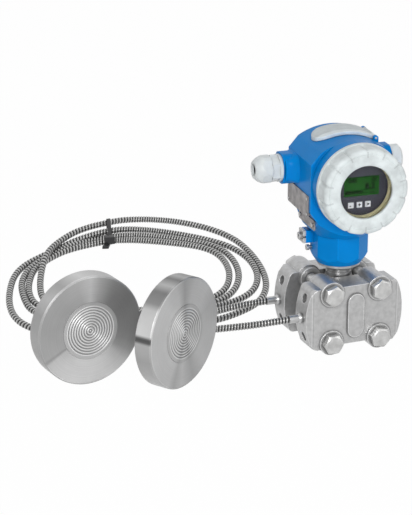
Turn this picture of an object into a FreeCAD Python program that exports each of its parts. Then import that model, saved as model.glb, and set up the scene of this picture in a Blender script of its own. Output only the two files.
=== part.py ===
import FreeCAD, Part
import Sketcher
import math
import os
from types import SimpleNamespace

# Differential pressure transmitter with two remote diaphragm seals on armoured capillaries.
#
# Frame, in millimetres: +Z is up, the display looks along -Y, and the cable gland and the
# capillaries leave along -X. Every piece is drawn about the measuring cell's upright axis.
# The cell's axis is then moved to (cell_x, cell_y), so that the origin ends up on the surface
# that the instrument stands on, under the middle of everything but the capillaries.

# ---------------------------------------------------------------------------------------
# Driving sizes. Each row is a spreadsheet alias, its value and what it is.
# ---------------------------------------------------------------------------------------

SIZES = [
    ("cell_x", 0.0, "measuring cell's axis from the origin, sideways"),
    ("cell_y", 0.0, "measuring cell's axis from the origin, front to rear"),
    # process flanges and measuring cell
    ("flange_mid_height", 39.0, "height of the flange centre above the floor"),
    ("flange_half_length", 54.0, "flange centre to end face"),
    ("flange_half_height", 32.5, "flange centre to top or bottom edge"),
    ("flange_bow", 5.0, "how far a flange's end faces bow outwards"),
    ("flange_corner", 6.0, "corner radius of a flange seen from the front"),
    ("flange_waist_half", 15.0, "half width of the hollow in the flange's lower edge"),
    ("flange_waist_depth", 3.0, "depth of that hollow"),
    ("flange_thickness", 28.0, "thickness of one flange"),
    ("flange_bevel_length", 12.0, "length of the slope at each end of the outer face"),
    ("flange_bevel_depth", 3.0, "depth of that slope"),
    ("flange_dome_radius", 31.5, "radius of the domed end at the end face"),
    ("flange_dome_slope", 14.0, "how much that radius grows inwards"),
    ("flange_dome_length", 15.0, "length of the domed end"),
    ("inner_boss_radius", 11.3, "radius of the bosses between the flanges"),
    ("inner_boss_rise", 5.0, "height of those bosses"),
    ("rib_half_width", 9.0, "half width of the raised oval on the outer face"),
    ("rib_half_height", 23.5, "half height of that oval"),
    ("rib_rise", 1.8, "how far the oval stands proud"),
    ("cell_half_gap", 14.0, "cell centre to the inner face of a flange"),
    ("cell_radius", 25.0, "radius of the round measuring cell"),
    ("cell_boss_gap", 0.2, "room between the cell's upright boss and a flange"),
    ("cell_boss_top", 70.0, "height of that boss"),
    ("chamber_radius", 18.0, "radius of the pressure chamber in a flange"),
    ("chamber_depth", 4.0, "depth of that chamber"),
    ("seal_groove_inner", 20.5, "inner radius of the cell seal's groove"),
    ("seal_groove_width", 2.6, "width of that groove"),
    ("seal_groove_depth", 2.0, "depth of that groove"),
    ("port_radius", 3.2, "radius of the fill passage from the capillary"),
    ("port_reach", 43.0, "length of that passage from the end face"),
    ("bolt_half_x", 26.5, "flange centre to a bolt, sideways"),
    ("bolt_half_z", 26.0, "flange centre to a bolt, upwards"),
    ("bolt_radius", 6.0, "radius of a flange bolt"),
    ("bolt_hole_gap", 0.3, "gap round a bolt in its hole"),
    ("bolt_head_flats", 19.0, "bolt head and nut across flats"),
    ("bolt_head_height", 7.5, "height of a bolt head"),
    ("bolt_end", 3.0, "bolt thread that shows behind the nut"),
    ("nut_height", 10.0, "height of a flange nut"),
    ("boss_radius", 13.0, "radius of the round boss at each bolt"),
    ("boss_rise", 1.2, "how far that boss stands proud"),
    ("tap_radius", 4.95, "radius of the mounting holes beside the capillaries"),
    ("far_tap_radius", 4.25, "radius of the mounting holes in the far ends, for a smaller thread"),
    ("tap_pitch", 41.3, "pitch of the two mounting holes"),
    ("tap_depth", 18.0, "depth of those holes"),
    # steel neck
    ("neck_height", 15.5, "measuring cell's boss up to the housing's stem"),
    ("neck_ring_radius", 13.2, "radius of the ring at the foot of the steel neck"),
    ("neck_ring_height", 4.5, "height of that ring"),
    ("neck_waist_radius", 12.0, "radius of the steel neck's waist"),
    ("neck_waist_height", 6.0, "height of that waist"),
    ("neck_shoulder_radius", 22.0, "radius of the shoulder under the housing"),
    ("neck_cone_height", 7.5, "height of the cone up to that shoulder"),
    ("neck_shoulder_height", 2.7, "height of that shoulder"),
    ("neck_spigot_radius", 18.0, "radius of the spigot that the housing turns on"),
    ("neck_spigot_height", 18.0, "height of that spigot"),
    ("turning_gap", 0.05, "radial gap of a turning fit"),
    ("face_gap", 0.3, "gap between faces that move past each other"),
    # housing
    ("block_half_width", 44.0, "housing block, centre to side face"),
    ("block_half_depth", 34.0, "housing block, centre to front or rear face"),
    ("block_foot", 30.0, "axis down to the block's lower corners"),
    ("housing_yaw", -5.0, "turn of the housing on its neck, in degrees"),
    ("block_shoulder", 20.0, "axis up to the block's side corners"),
    ("crown_radius", 65.0, "radius of the block's arched crown"),
    ("crown_top", 41.2, "axis up to the top of that crown"),
    ("crown_half", 34.0, "half width of that crown"),
    ("land_half_width", 36.0, "centre to the land that carries the tag plate"),
    ("land_margin", 2.5, "land below the tag plate"),
    ("blend_top", 36.0, "axis down to the top of the round blend into the stem"),
    ("blend_radius", 55.0, "radius of that blend at its top"),
    ("blend_drop", 8.0, "land's foot down to the foot of that blend"),
    ("lug_half_width", 2.7, "half width of the lugs that hold the flap's pin"),
    ("lug_thickness", 3.0, "thickness of those lugs"),
    ("barrel_radius", 41.0, "radius of the barrel through the block"),
    ("collar_radius", 43.0, "radius of the collar behind the front cover"),
    ("collar_length", 16.0, "length of that collar in front of the block"),
    ("spigot_radius", 40.6, "radius of the spigot inside the front cover"),
    ("spigot_length", 9.0, "length of that spigot"),
    ("front_bore", 36.0, "radius of the display compartment"),
    ("partition_front", 0.0, "front face of the partition"),
    ("partition_thickness", 8.0, "thickness of the partition"),
    ("rear_spigot_radius", 35.8, "radius of the spigot inside the rear cover"),
    ("rear_spigot_length", 8.0, "length of that spigot"),
    ("rear_bore", 32.0, "radius of the terminal compartment"),
    ("stem_radius", 29.4, "corner radius of the eight-sided stem"),
    ("stem_bevel", 9.0, "height of the slope round the stem's foot"),
    ("stem_foot_radius", 23.5, "radius of the stem's lower face"),
    ("stem_bore", 14.0, "radius of the wire way in the stem"),
    ("entry_y", 21.0, "cable entries behind the housing's centre"),
    ("entry_rise", 3.0, "cable entries above the housing's axis"),
    ("entry_half", 15.5, "half height of a cable entry's square boss"),
    ("entry_half_depth", 12.9, "half depth of that boss, front to rear"),
    ("entry_corner", 8.0, "corner radius of that boss"),
    ("entry_reach", 58.0, "housing centre to the face of an entry"),
    ("entry_bore", 9.9, "radius of the entry's bore"),
    # covers
    ("cover_rim_radius", 44.6, "radius of the front cover's rear rim"),
    ("cover_rim_length", 4.0, "length of that rim"),
    ("cover_radius", 43.2, "radius of the front cover's ring"),
    ("cover_length", 22.5, "length of the front cover"),
    ("cover_edge", 2.5, "bevel at the front cover's edge"),
    ("cover_dish", 1.2, "how deep the front face slopes to the window"),
    ("window_opening", 27.0, "radius of the window opening"),
    ("window_lip", 3.2, "thickness of the lip in front of the glass"),
    ("window_radius", 30.0, "radius of the glass"),
    ("window_thickness", 4.0, "thickness of the glass"),
    ("ring_length", 6.2, "length of the brass ring behind the glass"),
    ("cover_bore", 40.9, "radius of the front cover's thread bore"),
    ("cover_bore_depth", 12.0, "depth of that bore"),
    ("grip_count", 14.0, "grips round a cover"),
    ("grip_radius", 5.0, "radius of the hollow between two grips"),
    ("grip_depth", 1.1, "depth of that hollow"),
    ("rear_cover_radius", 38.6, "radius of the rear cover"),
    ("rear_cover_length", 15.5, "length of the rear cover"),
    ("rear_cover_wall", 3.2, "wall of the rear cover"),
    ("rear_cover_taper", 5.0, "how much the rear cover draws in"),
    ("seal_cord_radius", 1.0, "section radius of the cover seals"),
    # display
    ("display_radius", 32.0, "radius of the display module"),
    ("display_gap", 1.3, "display face behind the brass ring"),
    ("display_depth", 7.0, "depth of the display module"),
    ("screen_width", 37.0, "width of the screen"),
    ("screen_height", 20.0, "height of the screen"),
    ("screen_rise", 2.5, "screen centre above the housing's axis"),
    ("screen_thickness", 1.6, "thickness of the screen"),
    ("screen_recess", 0.5, "screen face behind the display face"),
    ("key_size", 5.6, "side of a display key"),
    ("key_pitch", 8.9, "pitch of the display keys"),
    ("key_drop", 16.4, "display keys below the housing's axis"),
    ("key_shift", -2.2, "middle display key beside the centre"),
    ("key_stand", 0.8, "how far a display key stands proud"),
    ("key_depth", 4.0, "length of a display key"),
    ("key_gap", 0.3, "gap round a display key"),
    ("insert_radius", 33.5, "radius of the electronics insert"),
    ("terminal_width", 46.0, "width of the terminal block"),
    ("terminal_height", 20.0, "height of the terminal block"),
    ("terminal_depth", 14.0, "depth of the terminal block"),
    # operating flap and its keys
    ("flap_front", -11.0, "front edge of the flap"),
    ("flap_rear", 19.0, "rear edge of the flap"),
    ("flap_thickness", 3.4, "thickness of the flap"),
    ("flap_half_chord", 30.0, "half width of the flap, straight across"),
    ("flap_recess", 2.4, "depth of the hollow over the keys"),
    ("hinge_radius", 2.4, "radius of the flap's hinge barrel"),
    ("hinge_pin_radius", 1.2, "radius of the flap's hinge pin"),
    ("push_radius", 3.2, "radius of an operating key"),
    ("push_pitch", 10.0, "pitch of the operating keys"),
    ("push_length", 5.0, "length of an operating key"),
    ("push_stand", 0.4, "how far an operating key stands proud"),
    ("push_travel_room", 1.6, "room under an operating key"),
    # cable gland and blanking plug
    ("gland_flats", 25.0, "gland body across flats"),
    ("gland_hex_length", 8.0, "length of the gland's hexagon"),
    ("gland_washer_radius", 14.2, "radius of the gland's washer face"),
    ("gland_washer_length", 3.0, "length of that washer face"),
    ("gland_thread_length", 8.0, "length of the thread in the entry"),
    ("gland_core_radius", 10.4, "radius of the gland under its nut"),
    ("gland_core_length", 13.0, "length of that part"),
    ("gland_bore", 7.6, "radius of the gland's bore"),
    ("nut_flats", 27.0, "gland nut across flats"),
    ("nut_length", 16.5, "length of the gland nut"),
    ("nut_nose", 9.0, "radius of the gland nut's nose"),
    ("nut_hole", 6.3, "radius of the cable's way through the nut"),
    ("plug_head_radius", 11.5, "radius of the blanking plug's head"),
    ("plug_head_length", 12.0, "length of that head"),
    ("plug_thread_length", 8.0, "length of the blanking plug's thread"),
    ("plug_washer", 1.5, "thickness of the plug's seal"),
    # plates and small fasteners
    ("plate_thickness", 1.0, "thickness of the plates"),
    ("nameplate_drop", 13.5, "housing's axis down to the nameplate"),
    ("nameplate_height", 22.5, "height of the nameplate"),
    ("nameplate_front", -29.0, "front edge of the nameplate"),
    ("nameplate_rear", 32.0, "rear edge of the nameplate"),
    ("tag_rise", 16.0, "earth terminal up to the tag plate's lower edge"),
    ("tag_height", 10.5, "height of the tag plate"),
    ("tag_drop", 51.5, "housing's axis down to the tag plate's lower edge"),
    ("tag_front", -27.0, "front edge of the tag plate"),
    ("tag_rear", 20.0, "rear edge of the tag plate"),
    ("rivet_radius", 1.6, "radius of a rivet's head"),
    ("rivet_height", 0.8, "height of a rivet's head"),
    ("small_screw_radius", 2.2, "radius of a tag screw's head"),
    ("small_screw_height", 1.6, "height of a tag screw's head"),
    ("small_shank_radius", 1.1, "radius of the rivets' and tag screws' shanks"),
    ("small_shank_length", 5.0, "length of those shanks"),
    ("earth_y", 9.0, "earth terminal behind the centre"),
    ("earth_rise", 13.5, "locking screw up to the earth terminal"),
    ("earth_lug_half", 6.5, "half size of the earth terminal's lug"),
    ("earth_lug_reach", 35.0, "housing centre to the lug's face"),
    ("earth_screw_radius", 4.0, "radius of the earth screw's head"),
    ("earth_clamp", 3.0, "thickness of the earth clamp"),
    ("lock_rise", 13.0, "stem's lower face up to its locking screw"),
    ("lock_radius", 3.0, "radius of that screw's head"),
    ("lock_reach", 32.5, "housing centre to the end of that head"),
    # capillaries
    ("hose_diameter", 7.0, "outer diameter of the armoured capillary"),
    ("adapter_radius", 5.2, "radius of the capillary adapter"),
    ("adapter_length", 4.0, "length of that adapter"),
    ("sleeve_radius", 4.2, "radius of the sleeve on the hose's end"),
    ("sleeve_length", 10.0, "length of that sleeve"),
    ("coil_height", 16.0, "height of the lying coil"),
    # diaphragm seals
    ("seal_radius", 56.0, "radius of a diaphragm seal"),
    ("seal_thickness", 20.0, "thickness of a diaphragm seal"),
    ("seal_edge", 1.5, "bevel round a diaphragm seal"),
    ("seat_radius", 29.5, "radius of the diaphragm's seat"),
    ("seat_depth", 1.6, "depth of that seat"),
    ("diaphragm_radius", 28.0, "radius of the diaphragm"),
    ("diaphragm_thickness", 0.8, "thickness of the diaphragm"),
    ("wave_pitch", 2.8, "pitch of the diaphragm's waves"),
    ("wave_rise", 0.6, "height of the diaphragm's waves"),
    ("outlet_radius", 7.0, "radius of the outlet on a seal's back"),
    ("outlet_length", 10.0, "length of that outlet"),
    ("outlet_offset", 21.0, "outlet beside the seal's centre"),
    ("left_seal_x", -276.0, "left seal's face centre, sideways"),
    ("left_seal_y", -21.0, "left seal's face centre, front to rear"),
    ("left_seal_turn", 8.5, "left seal's turn about the upright"),
    ("right_seal_x", -193.5, "right seal's face centre, sideways"),
    ("right_seal_y", -62.0, "right seal's face centre, front to rear"),
    ("right_seal_turn", 33.0, "right seal's turn about the upright"),
]

# Heights that follow from the sizes above, each an alias, its formula and what it is.
HEIGHTS = [
    ("stem_bottom", "cell_boss_top + neck_height", "height of the stem's lower face"),
    ("lock_height", "stem_bottom + lock_rise", "height of the stem's locking screw"),
    ("earth_height", "lock_height + earth_rise", "height of the earth terminal"),
    ("tag_low", "earth_height + tag_rise", "lower edge of the tag plate"),
    ("tag_high", "tag_low + tag_height", "upper edge of the tag plate"),
    ("axis_height", "tag_low + tag_drop", "height of the housing's axis"),
    ("nameplate_high", "axis_height - nameplate_drop", "upper edge of the nameplate"),
    ("nameplate_low", "nameplate_high - nameplate_height", "lower edge of the nameplate"),
    ("land_top", "tag_drop - tag_height", "axis down to the tag plate's land"),
    ("land_foot", "tag_drop + land_margin", "axis down to that land's foot"),
    ("blend_foot", "land_foot + blend_drop", "axis down to the foot of the round blend"),
]

doc = FreeCAD.newDocument("PressureTransmitter")
sheet = doc.addObject("Spreadsheet::Sheet", "sizes")
NODES = []


class Dim:
    """A length: its number now, and the expression that keeps it tied to the sheet."""

    def __init__(self, number, text):
        self.number = number
        self.text = text

    def __add__(self, other):
        other = as_dim(other)
        return Dim(self.number + other.number, f"({self.text} + {other.text})")

    def __sub__(self, other):
        other = as_dim(other)
        return Dim(self.number - other.number, f"({self.text} - {other.text})")

    def __mul__(self, other):
        other = as_dim(other)
        return Dim(self.number * other.number, f"({self.text} * {other.text})")

    def __truediv__(self, other):
        other = as_dim(other)
        return Dim(self.number / other.number, f"({self.text} / {other.text})")

    def __neg__(self):
        return Dim(-self.number, f"(-1 * {self.text})")

    def __radd__(self, other):
        return as_dim(other) + self

    def __rsub__(self, other):
        return as_dim(other) - self

    def __rmul__(self, other):
        return as_dim(other) * self


def as_dim(value):
    if isinstance(value, Dim):
        return value
    return Dim(float(value), f"{float(value):.6f}")


def root_of(value):
    """The square root of a length squared."""
    return Dim(math.sqrt(value.number), f"sqrt({value.text})")


def fill_sheet():
    rows = [(alias, f"{value}", meaning) for alias, value, meaning in SIZES]
    rows += [(alias, f"={formula}", meaning) for alias, formula, meaning in HEIGHTS]
    for row, (alias, content, meaning) in enumerate(rows, start=1):
        sheet.set(f"A{row}", meaning)
        sheet.set(f"B{row}", content)
        sheet.setAlias(f"B{row}", alias)
    doc.recompute()
    return SimpleNamespace(**{
        alias: Dim(float(sheet.get(alias)), f"sizes.{alias}") for alias, _, _ in rows
    })


s = fill_sheet()


# ---------------------------------------------------------------------------------------
# Tools for bodies, sketches and features
# ---------------------------------------------------------------------------------------

def new_body(label):
    body = doc.addObject("PartDesign::Body", label)
    body.Label = label
    NODES.append(body)
    return body


def attach(sketch, plane, offset):
    """Attach a sketch to an origin plane of its own body, shifted by offset in the sketch's axes."""
    body = sketch.getParentGeoFeatureGroup()
    support = [item for item in body.Origin.OriginFeatures if item.Role == plane][0]
    sketch.AttachmentSupport = (support, "")
    sketch.MapMode = "FlatFace"
    for axis, shift in zip("xyz", offset):
        sketch.setExpression(f"AttachmentOffset.Base.{axis}", as_dim(shift).text)


def new_sketch(body, plane, offset):
    sketch = body.newObject("Sketcher::SketchObject", f"{body.Name}_sketch")
    attach(sketch, plane, offset)
    return sketch


def fix_point(sketch, geometry, position, u, v):
    """Hold a point at (u, v) from the sketch's origin, tied to the sheet."""
    for kind, value, axis in (("DistanceX", u, -2), ("DistanceY", v, -1)):
        value = as_dim(value)
        if value.number == 0.0 and "sizes" not in value.text:
            sketch.addConstraint(Sketcher.Constraint("PointOnObject", geometry, position, axis))
            continue
        index = sketch.addConstraint(
            Sketcher.Constraint(kind, -1, 1, geometry, position, value.number))
        sketch.setExpression(f"Constraints[{index}]", value.text)


def arc_between(start, end, radius):
    """The shorter arc from start to end: anticlockwise for a positive radius."""
    chord = end - start
    size = abs(radius)
    rise = math.sqrt(max(size * size - chord.Length ** 2 / 4.0, 0.0))
    side = FreeCAD.Vector(-chord.y, chord.x, 0).normalize()
    middle = (start + end) / 2.0 + side * (rise if radius > 0 else -rise)
    first, last = (start, end) if radius > 0 else (end, start)
    angles = [math.atan2(p.y - middle.y, p.x - middle.x) for p in (first, last)]
    if angles[1] < angles[0]:
        angles[1] += 2.0 * math.pi
    circle = Part.Circle(middle, FreeCAD.Vector(0, 0, 1), size)
    return Part.ArcOfCircle(circle, angles[0], angles[1])


def outline(body, plane, points, offset=(0, 0, 0)):
    """A closed outline. A point is (u, v), or (u, v, r) where the edge that leaves it is an
    arc of radius r, negative for clockwise."""
    sketch = new_sketch(body, plane, offset)
    corners = [FreeCAD.Vector(as_dim(p[0]).number, as_dim(p[1]).number, 0) for p in points]
    ends = []
    for i, point in enumerate(points):
        following = corners[(i + 1) % len(points)]
        if len(point) == 2:
            sketch.addGeometry(Part.LineSegment(corners[i], following), False)
            ends.append((1, 2))
            continue
        radius = as_dim(point[2])
        sketch.addGeometry(arc_between(corners[i], following, radius.number), False)
        ends.append((1, 2) if radius.number > 0 else (2, 1))
    for i in range(len(points)):
        after = (i + 1) % len(points)
        sketch.addConstraint(
            Sketcher.Constraint("Coincident", i, ends[i][1], after, ends[after][0]))
    for i, point in enumerate(points):
        fix_point(sketch, i, ends[i][0], point[0], point[1])
        if len(point) == 3:
            radius = as_dim(point[2])
            radius = radius if radius.number > 0 else -radius
            index = sketch.addConstraint(Sketcher.Constraint("Radius", i, radius.number))
            sketch.setExpression(f"Constraints[{index}]", radius.text)
    return sketch


def rings(body, plane, circles, offset=(0, 0, 0)):
    """Circles given as (u, v, radius)."""
    sketch = new_sketch(body, plane, offset)
    for i, (u, v, radius) in enumerate(circles):
        centre = FreeCAD.Vector(as_dim(u).number, as_dim(v).number, 0)
        radius = as_dim(radius)
        sketch.addGeometry(Part.Circle(centre, FreeCAD.Vector(0, 0, 1), radius.number), False)
        fix_point(sketch, i, 3, u, v)
        index = sketch.addConstraint(Sketcher.Constraint("Radius", i, radius.number))
        sketch.setExpression(f"Constraints[{index}]", radius.text)
    return sketch


def feature(body, kind, sketch):
    item = body.newObject(f"PartDesign::{kind}", f"{body.Name}_{kind.lower()}")
    item.Profile = sketch
    sketch.Visibility = False
    return item


def pad(body, sketch, length, reverse=False, middle=False):
    item = feature(body, "Pad", sketch)
    item.Reversed = reverse
    item.Midplane = middle
    item.setExpression("Length", as_dim(length).text)
    doc.recompute()
    return item


def cut(body, sketch, length, reverse=False, middle=False):
    """A pocket, checked to take material away."""
    before = body.Shape.Volume
    item = feature(body, "Pocket", sketch)
    item.Reversed = reverse
    item.Midplane = middle
    item.setExpression("Length", as_dim(length).text)
    doc.recompute()
    if not body.Shape.Volume < before - 0.01:
        raise RuntimeError(f"{item.Name} removes nothing")
    return item


def turn(body, sketch, axis="H_Axis"):
    """Material turned about one of the sketch's own axes."""
    item = feature(body, "Revolution", sketch)
    item.ReferenceAxis = (sketch, [axis])
    item.Angle = 360.0
    doc.recompute()
    return item


def turn_away(body, sketch, axis="H_Axis"):
    """A groove about one of the sketch's own axes, checked to take material away."""
    before = body.Shape.Volume
    item = feature(body, "Groove", sketch)
    item.ReferenceAxis = (sketch, [axis])
    item.Angle = 360.0
    doc.recompute()
    if not body.Shape.Volume < before - 0.01:
        raise RuntimeError(f"{item.Name} removes nothing")
    return item


def polygon_points(sides, flats, turn_by=0.0, centre=(0, 0)):
    """Corners of a regular polygon from its size across flats."""
    reach = as_dim(flats) / (2.0 * math.cos(math.pi / sides))
    corners = []
    for i in range(sides):
        angle = 2.0 * math.pi * i / sides + turn_by
        corners.append((as_dim(centre[0]) + reach * math.cos(angle),
                        as_dim(centre[1]) + reach * math.sin(angle)))
    return corners


def bolt_places():
    """The four flange bolts as (x, z)."""
    return [(s.bolt_half_x * sx, s.flange_mid_height + s.bolt_half_z * sz)
            for sx in (-1, 1) for sz in (-1, 1)]


def place(body, x="0", y="0", angle="0"):
    """Place a body at (x, y) from the cell's axis, turned about its own upright."""
    body.Placement = FreeCAD.Placement(
        FreeCAD.Vector(0, 0, 0), FreeCAD.Rotation(FreeCAD.Vector(0, 0, 1), 1.0))
    body.setExpression("Placement.Base.x", f"{x} + sizes.cell_x")
    body.setExpression("Placement.Base.y", f"{y} + sizes.cell_y")
    body.setExpression("Placement.Rotation.Angle", f"{angle} * 1 deg")


# ---------------------------------------------------------------------------------------
# Measuring cell, flanges and their bolts
# ---------------------------------------------------------------------------------------

def flange_outline():
    """A flange from the front, anticlockwise. Its ends are bowed and its lower edge is hollow."""
    right = s.flange_half_length - s.flange_bow
    low = s.flange_mid_height - s.flange_half_height
    high = s.flange_mid_height + s.flange_half_height
    c = s.flange_corner
    waist = s.flange_waist_half
    slope = s.flange_waist_depth
    half = s.flange_half_height - c
    bow = (half * half + s.flange_bow * s.flange_bow) / (2 * s.flange_bow)
    return [
        (-right + c, low), (-waist - slope, low), (-waist, low + slope), (waist, low + slope),
        (waist + slope, low), (right - c, low, c), (right, low + c, bow), (right, high - c, c),
        (right - c, high), (-right + c, high, c), (-right, high - c, bow), (-right, low + c, c),
    ]


def make_flange(label, side):
    """One flange. side is -1 for the front flange and 1 for the rear one."""
    body = new_body(label)
    inner = s.cell_half_gap * -side
    outer = (s.cell_half_gap + s.flange_thickness) * side
    rear = side > 0
    pad(body, outline(body, "XZ_Plane", flange_outline(), (0, 0, inner)),
        s.flange_thickness, reverse=rear)
    dome_ends(body, inner)
    stubs = [(x, z, s.inner_boss_radius) for x, z in bolt_places()]
    pad(body, rings(body, "XZ_Plane", stubs, (0, 0, inner)), s.inner_boss_rise, reverse=not rear)
    bosses = [(x, z, s.boss_radius) for x, z in bolt_places()]
    pad(body, rings(body, "XZ_Plane", bosses, (0, 0, inner)),
        s.flange_thickness + s.boss_rise, reverse=rear)
    half = s.flange_half_length
    for end in (-1, 1):
        corner = [(half * end, outer - s.flange_bevel_depth * side), (half * end, outer),
                  ((half - s.flange_bevel_length) * end, outer)]
        cut(body, outline(body, "XY_Plane", corner, (0, 0, s.flange_mid_height)),
            s.flange_half_height * 2, middle=True)
    flat = s.rib_half_height - s.rib_half_width
    mid = s.flange_mid_height
    oval = [(-s.rib_half_width, mid - flat, s.rib_half_width),
            (0, mid - s.rib_half_height, s.rib_half_width),
            (s.rib_half_width, mid - flat),
            (s.rib_half_width, mid + flat, s.rib_half_width),
            (0, mid + s.rib_half_height, s.rib_half_width),
            (-s.rib_half_width, mid + flat)]
    pad(body, outline(body, "XZ_Plane", oval, (0, 0, -outer)), s.rib_rise, reverse=rear)
    holes = [(x, z, s.bolt_radius + s.bolt_hole_gap) for x, z in bolt_places()]
    cut(body, rings(body, "XZ_Plane", holes), s.flange_thickness * 8, middle=True)
    cut(body, rings(body, "XZ_Plane", [(0, mid, s.chamber_radius)], (0, 0, inner)),
        s.chamber_depth, reverse=not rear)
    groove = [(0, mid, s.seal_groove_inner + s.seal_groove_width), (0, mid, s.seal_groove_inner)]
    cut(body, rings(body, "XZ_Plane", groove, (0, 0, inner)), s.seal_groove_depth,
        reverse=not rear)
    port_y = (s.cell_half_gap + s.flange_thickness / 2) * side
    for end, radius in ((-1, s.tap_radius), (1, s.far_tap_radius)):
        taps = [(port_y, mid + s.tap_pitch / 2 * up, radius) for up in (-1, 1)]
        cut(body, rings(body, "YZ_Plane", taps, (0, 0, half * end)), s.tap_depth * 2, middle=True)
    cut(body, rings(body, "YZ_Plane", [(port_y, mid, s.port_radius)], (0, 0, -half)),
        s.port_reach * 2, middle=True)
    passage = [(s.port_reach - half, mid, s.port_radius)]
    cut(body, rings(body, "XZ_Plane", passage, (0, 0, inner)), s.flange_thickness / 2,
        reverse=not rear)
    return body


def dome_ends(body, inner):
    """Turn both ends of a flange to a cone about the middle of its inner face."""
    end = s.flange_half_length + 1
    start = end - s.flange_dome_length
    clear = s.flange_half_length
    offset = (0, -inner, s.flange_mid_height)
    for way in (-1, 1):
        cone = [(end * way, s.flange_dome_radius), (end * way, clear), (start * way, clear),
                (start * way, s.flange_dome_radius + s.flange_dome_slope)]
        turn_away(body, outline(body, "XY_Plane", cone, offset))


def make_cell():
    body = new_body("measuring_cell")
    mid = s.flange_mid_height
    pad(body, rings(body, "XZ_Plane", [(0, mid, s.cell_radius)]), s.cell_half_gap * 2, middle=True)
    pad(body, rings(body, "XY_Plane", [(0, 0, s.cell_half_gap - s.cell_boss_gap)],
                    (0, 0, mid)), s.cell_boss_top - mid)
    return body


def make_cell_seal(label, side):
    """The ring that seals the cell against one flange, filling its groove."""
    body = new_body(label)
    mid = s.flange_mid_height
    ring = [(0, mid, s.seal_groove_inner + s.seal_groove_width), (0, mid, s.seal_groove_inner)]
    sketch = rings(body, "XZ_Plane", ring, (0, 0, s.cell_half_gap * -side))
    pad(body, sketch, s.seal_groove_depth, reverse=side > 0)
    return body


def make_bolts():
    """Four hexagon bolts from the front, through both flanges."""
    body = new_body("flange_bolts")
    seat = s.cell_half_gap + s.flange_thickness + s.boss_rise
    shanks = [(x, z, s.bolt_radius) for x, z in bolt_places()]
    pad(body, rings(body, "XZ_Plane", shanks, (0, 0, seat)),
        seat * 2 + s.nut_height + s.bolt_end, reverse=True)
    turns = (0.0, 12.0, 41.0, 24.0)
    for (x, z), degrees in zip(bolt_places(), turns):
        head = polygon_points(6, s.bolt_head_flats, math.radians(degrees), (x, z))
        pad(body, outline(body, "XZ_Plane", head, (0, 0, seat)), s.bolt_head_height)
    return body


def make_nuts():
    """Four nuts behind the rear flange."""
    body = new_body("flange_nuts")
    seat = s.cell_half_gap + s.flange_thickness + s.boss_rise
    turns = (18.0, 5.0, 33.0, 50.0)
    for (x, z), degrees in zip(bolt_places(), turns):
        edge = polygon_points(6, s.bolt_head_flats, math.radians(degrees), (x, z))
        pad(body, outline(body, "XZ_Plane", edge, (0, 0, -seat)), s.nut_height, reverse=True)
    holes = [(x, z, s.bolt_radius + s.turning_gap) for x, z in bolt_places()]
    cut(body, rings(body, "XZ_Plane", holes, (0, 0, -seat)), s.nut_height * 2, middle=True)
    return body


def make_neck():
    """The steel neck that carries the housing."""
    body = new_body("neck_adapter")
    foot = s.cell_boss_top
    ring = foot + s.neck_ring_height
    waist = ring + s.neck_waist_height
    shoulder = s.stem_bottom - s.face_gap - s.neck_shoulder_height
    top = s.stem_bottom - s.face_gap
    profile = [
        (0, foot), (s.neck_ring_radius, foot), (s.neck_ring_radius, ring),
        (s.neck_waist_radius, ring), (s.neck_waist_radius, waist - s.neck_waist_height / 2),
        (s.neck_shoulder_radius, shoulder), (s.neck_shoulder_radius, top),
        (s.neck_spigot_radius, top), (s.neck_spigot_radius, top + s.neck_spigot_height),
        (0, top + s.neck_spigot_height),
    ]
    turn(body, outline(body, "XZ_Plane", profile), "V_Axis")
    return body


# ---------------------------------------------------------------------------------------
# Housing, its covers and what they hold
# ---------------------------------------------------------------------------------------

def collar_front():
    """Distance of the collar's front face in front of the centre."""
    return s.block_half_depth + s.collar_length


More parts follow.
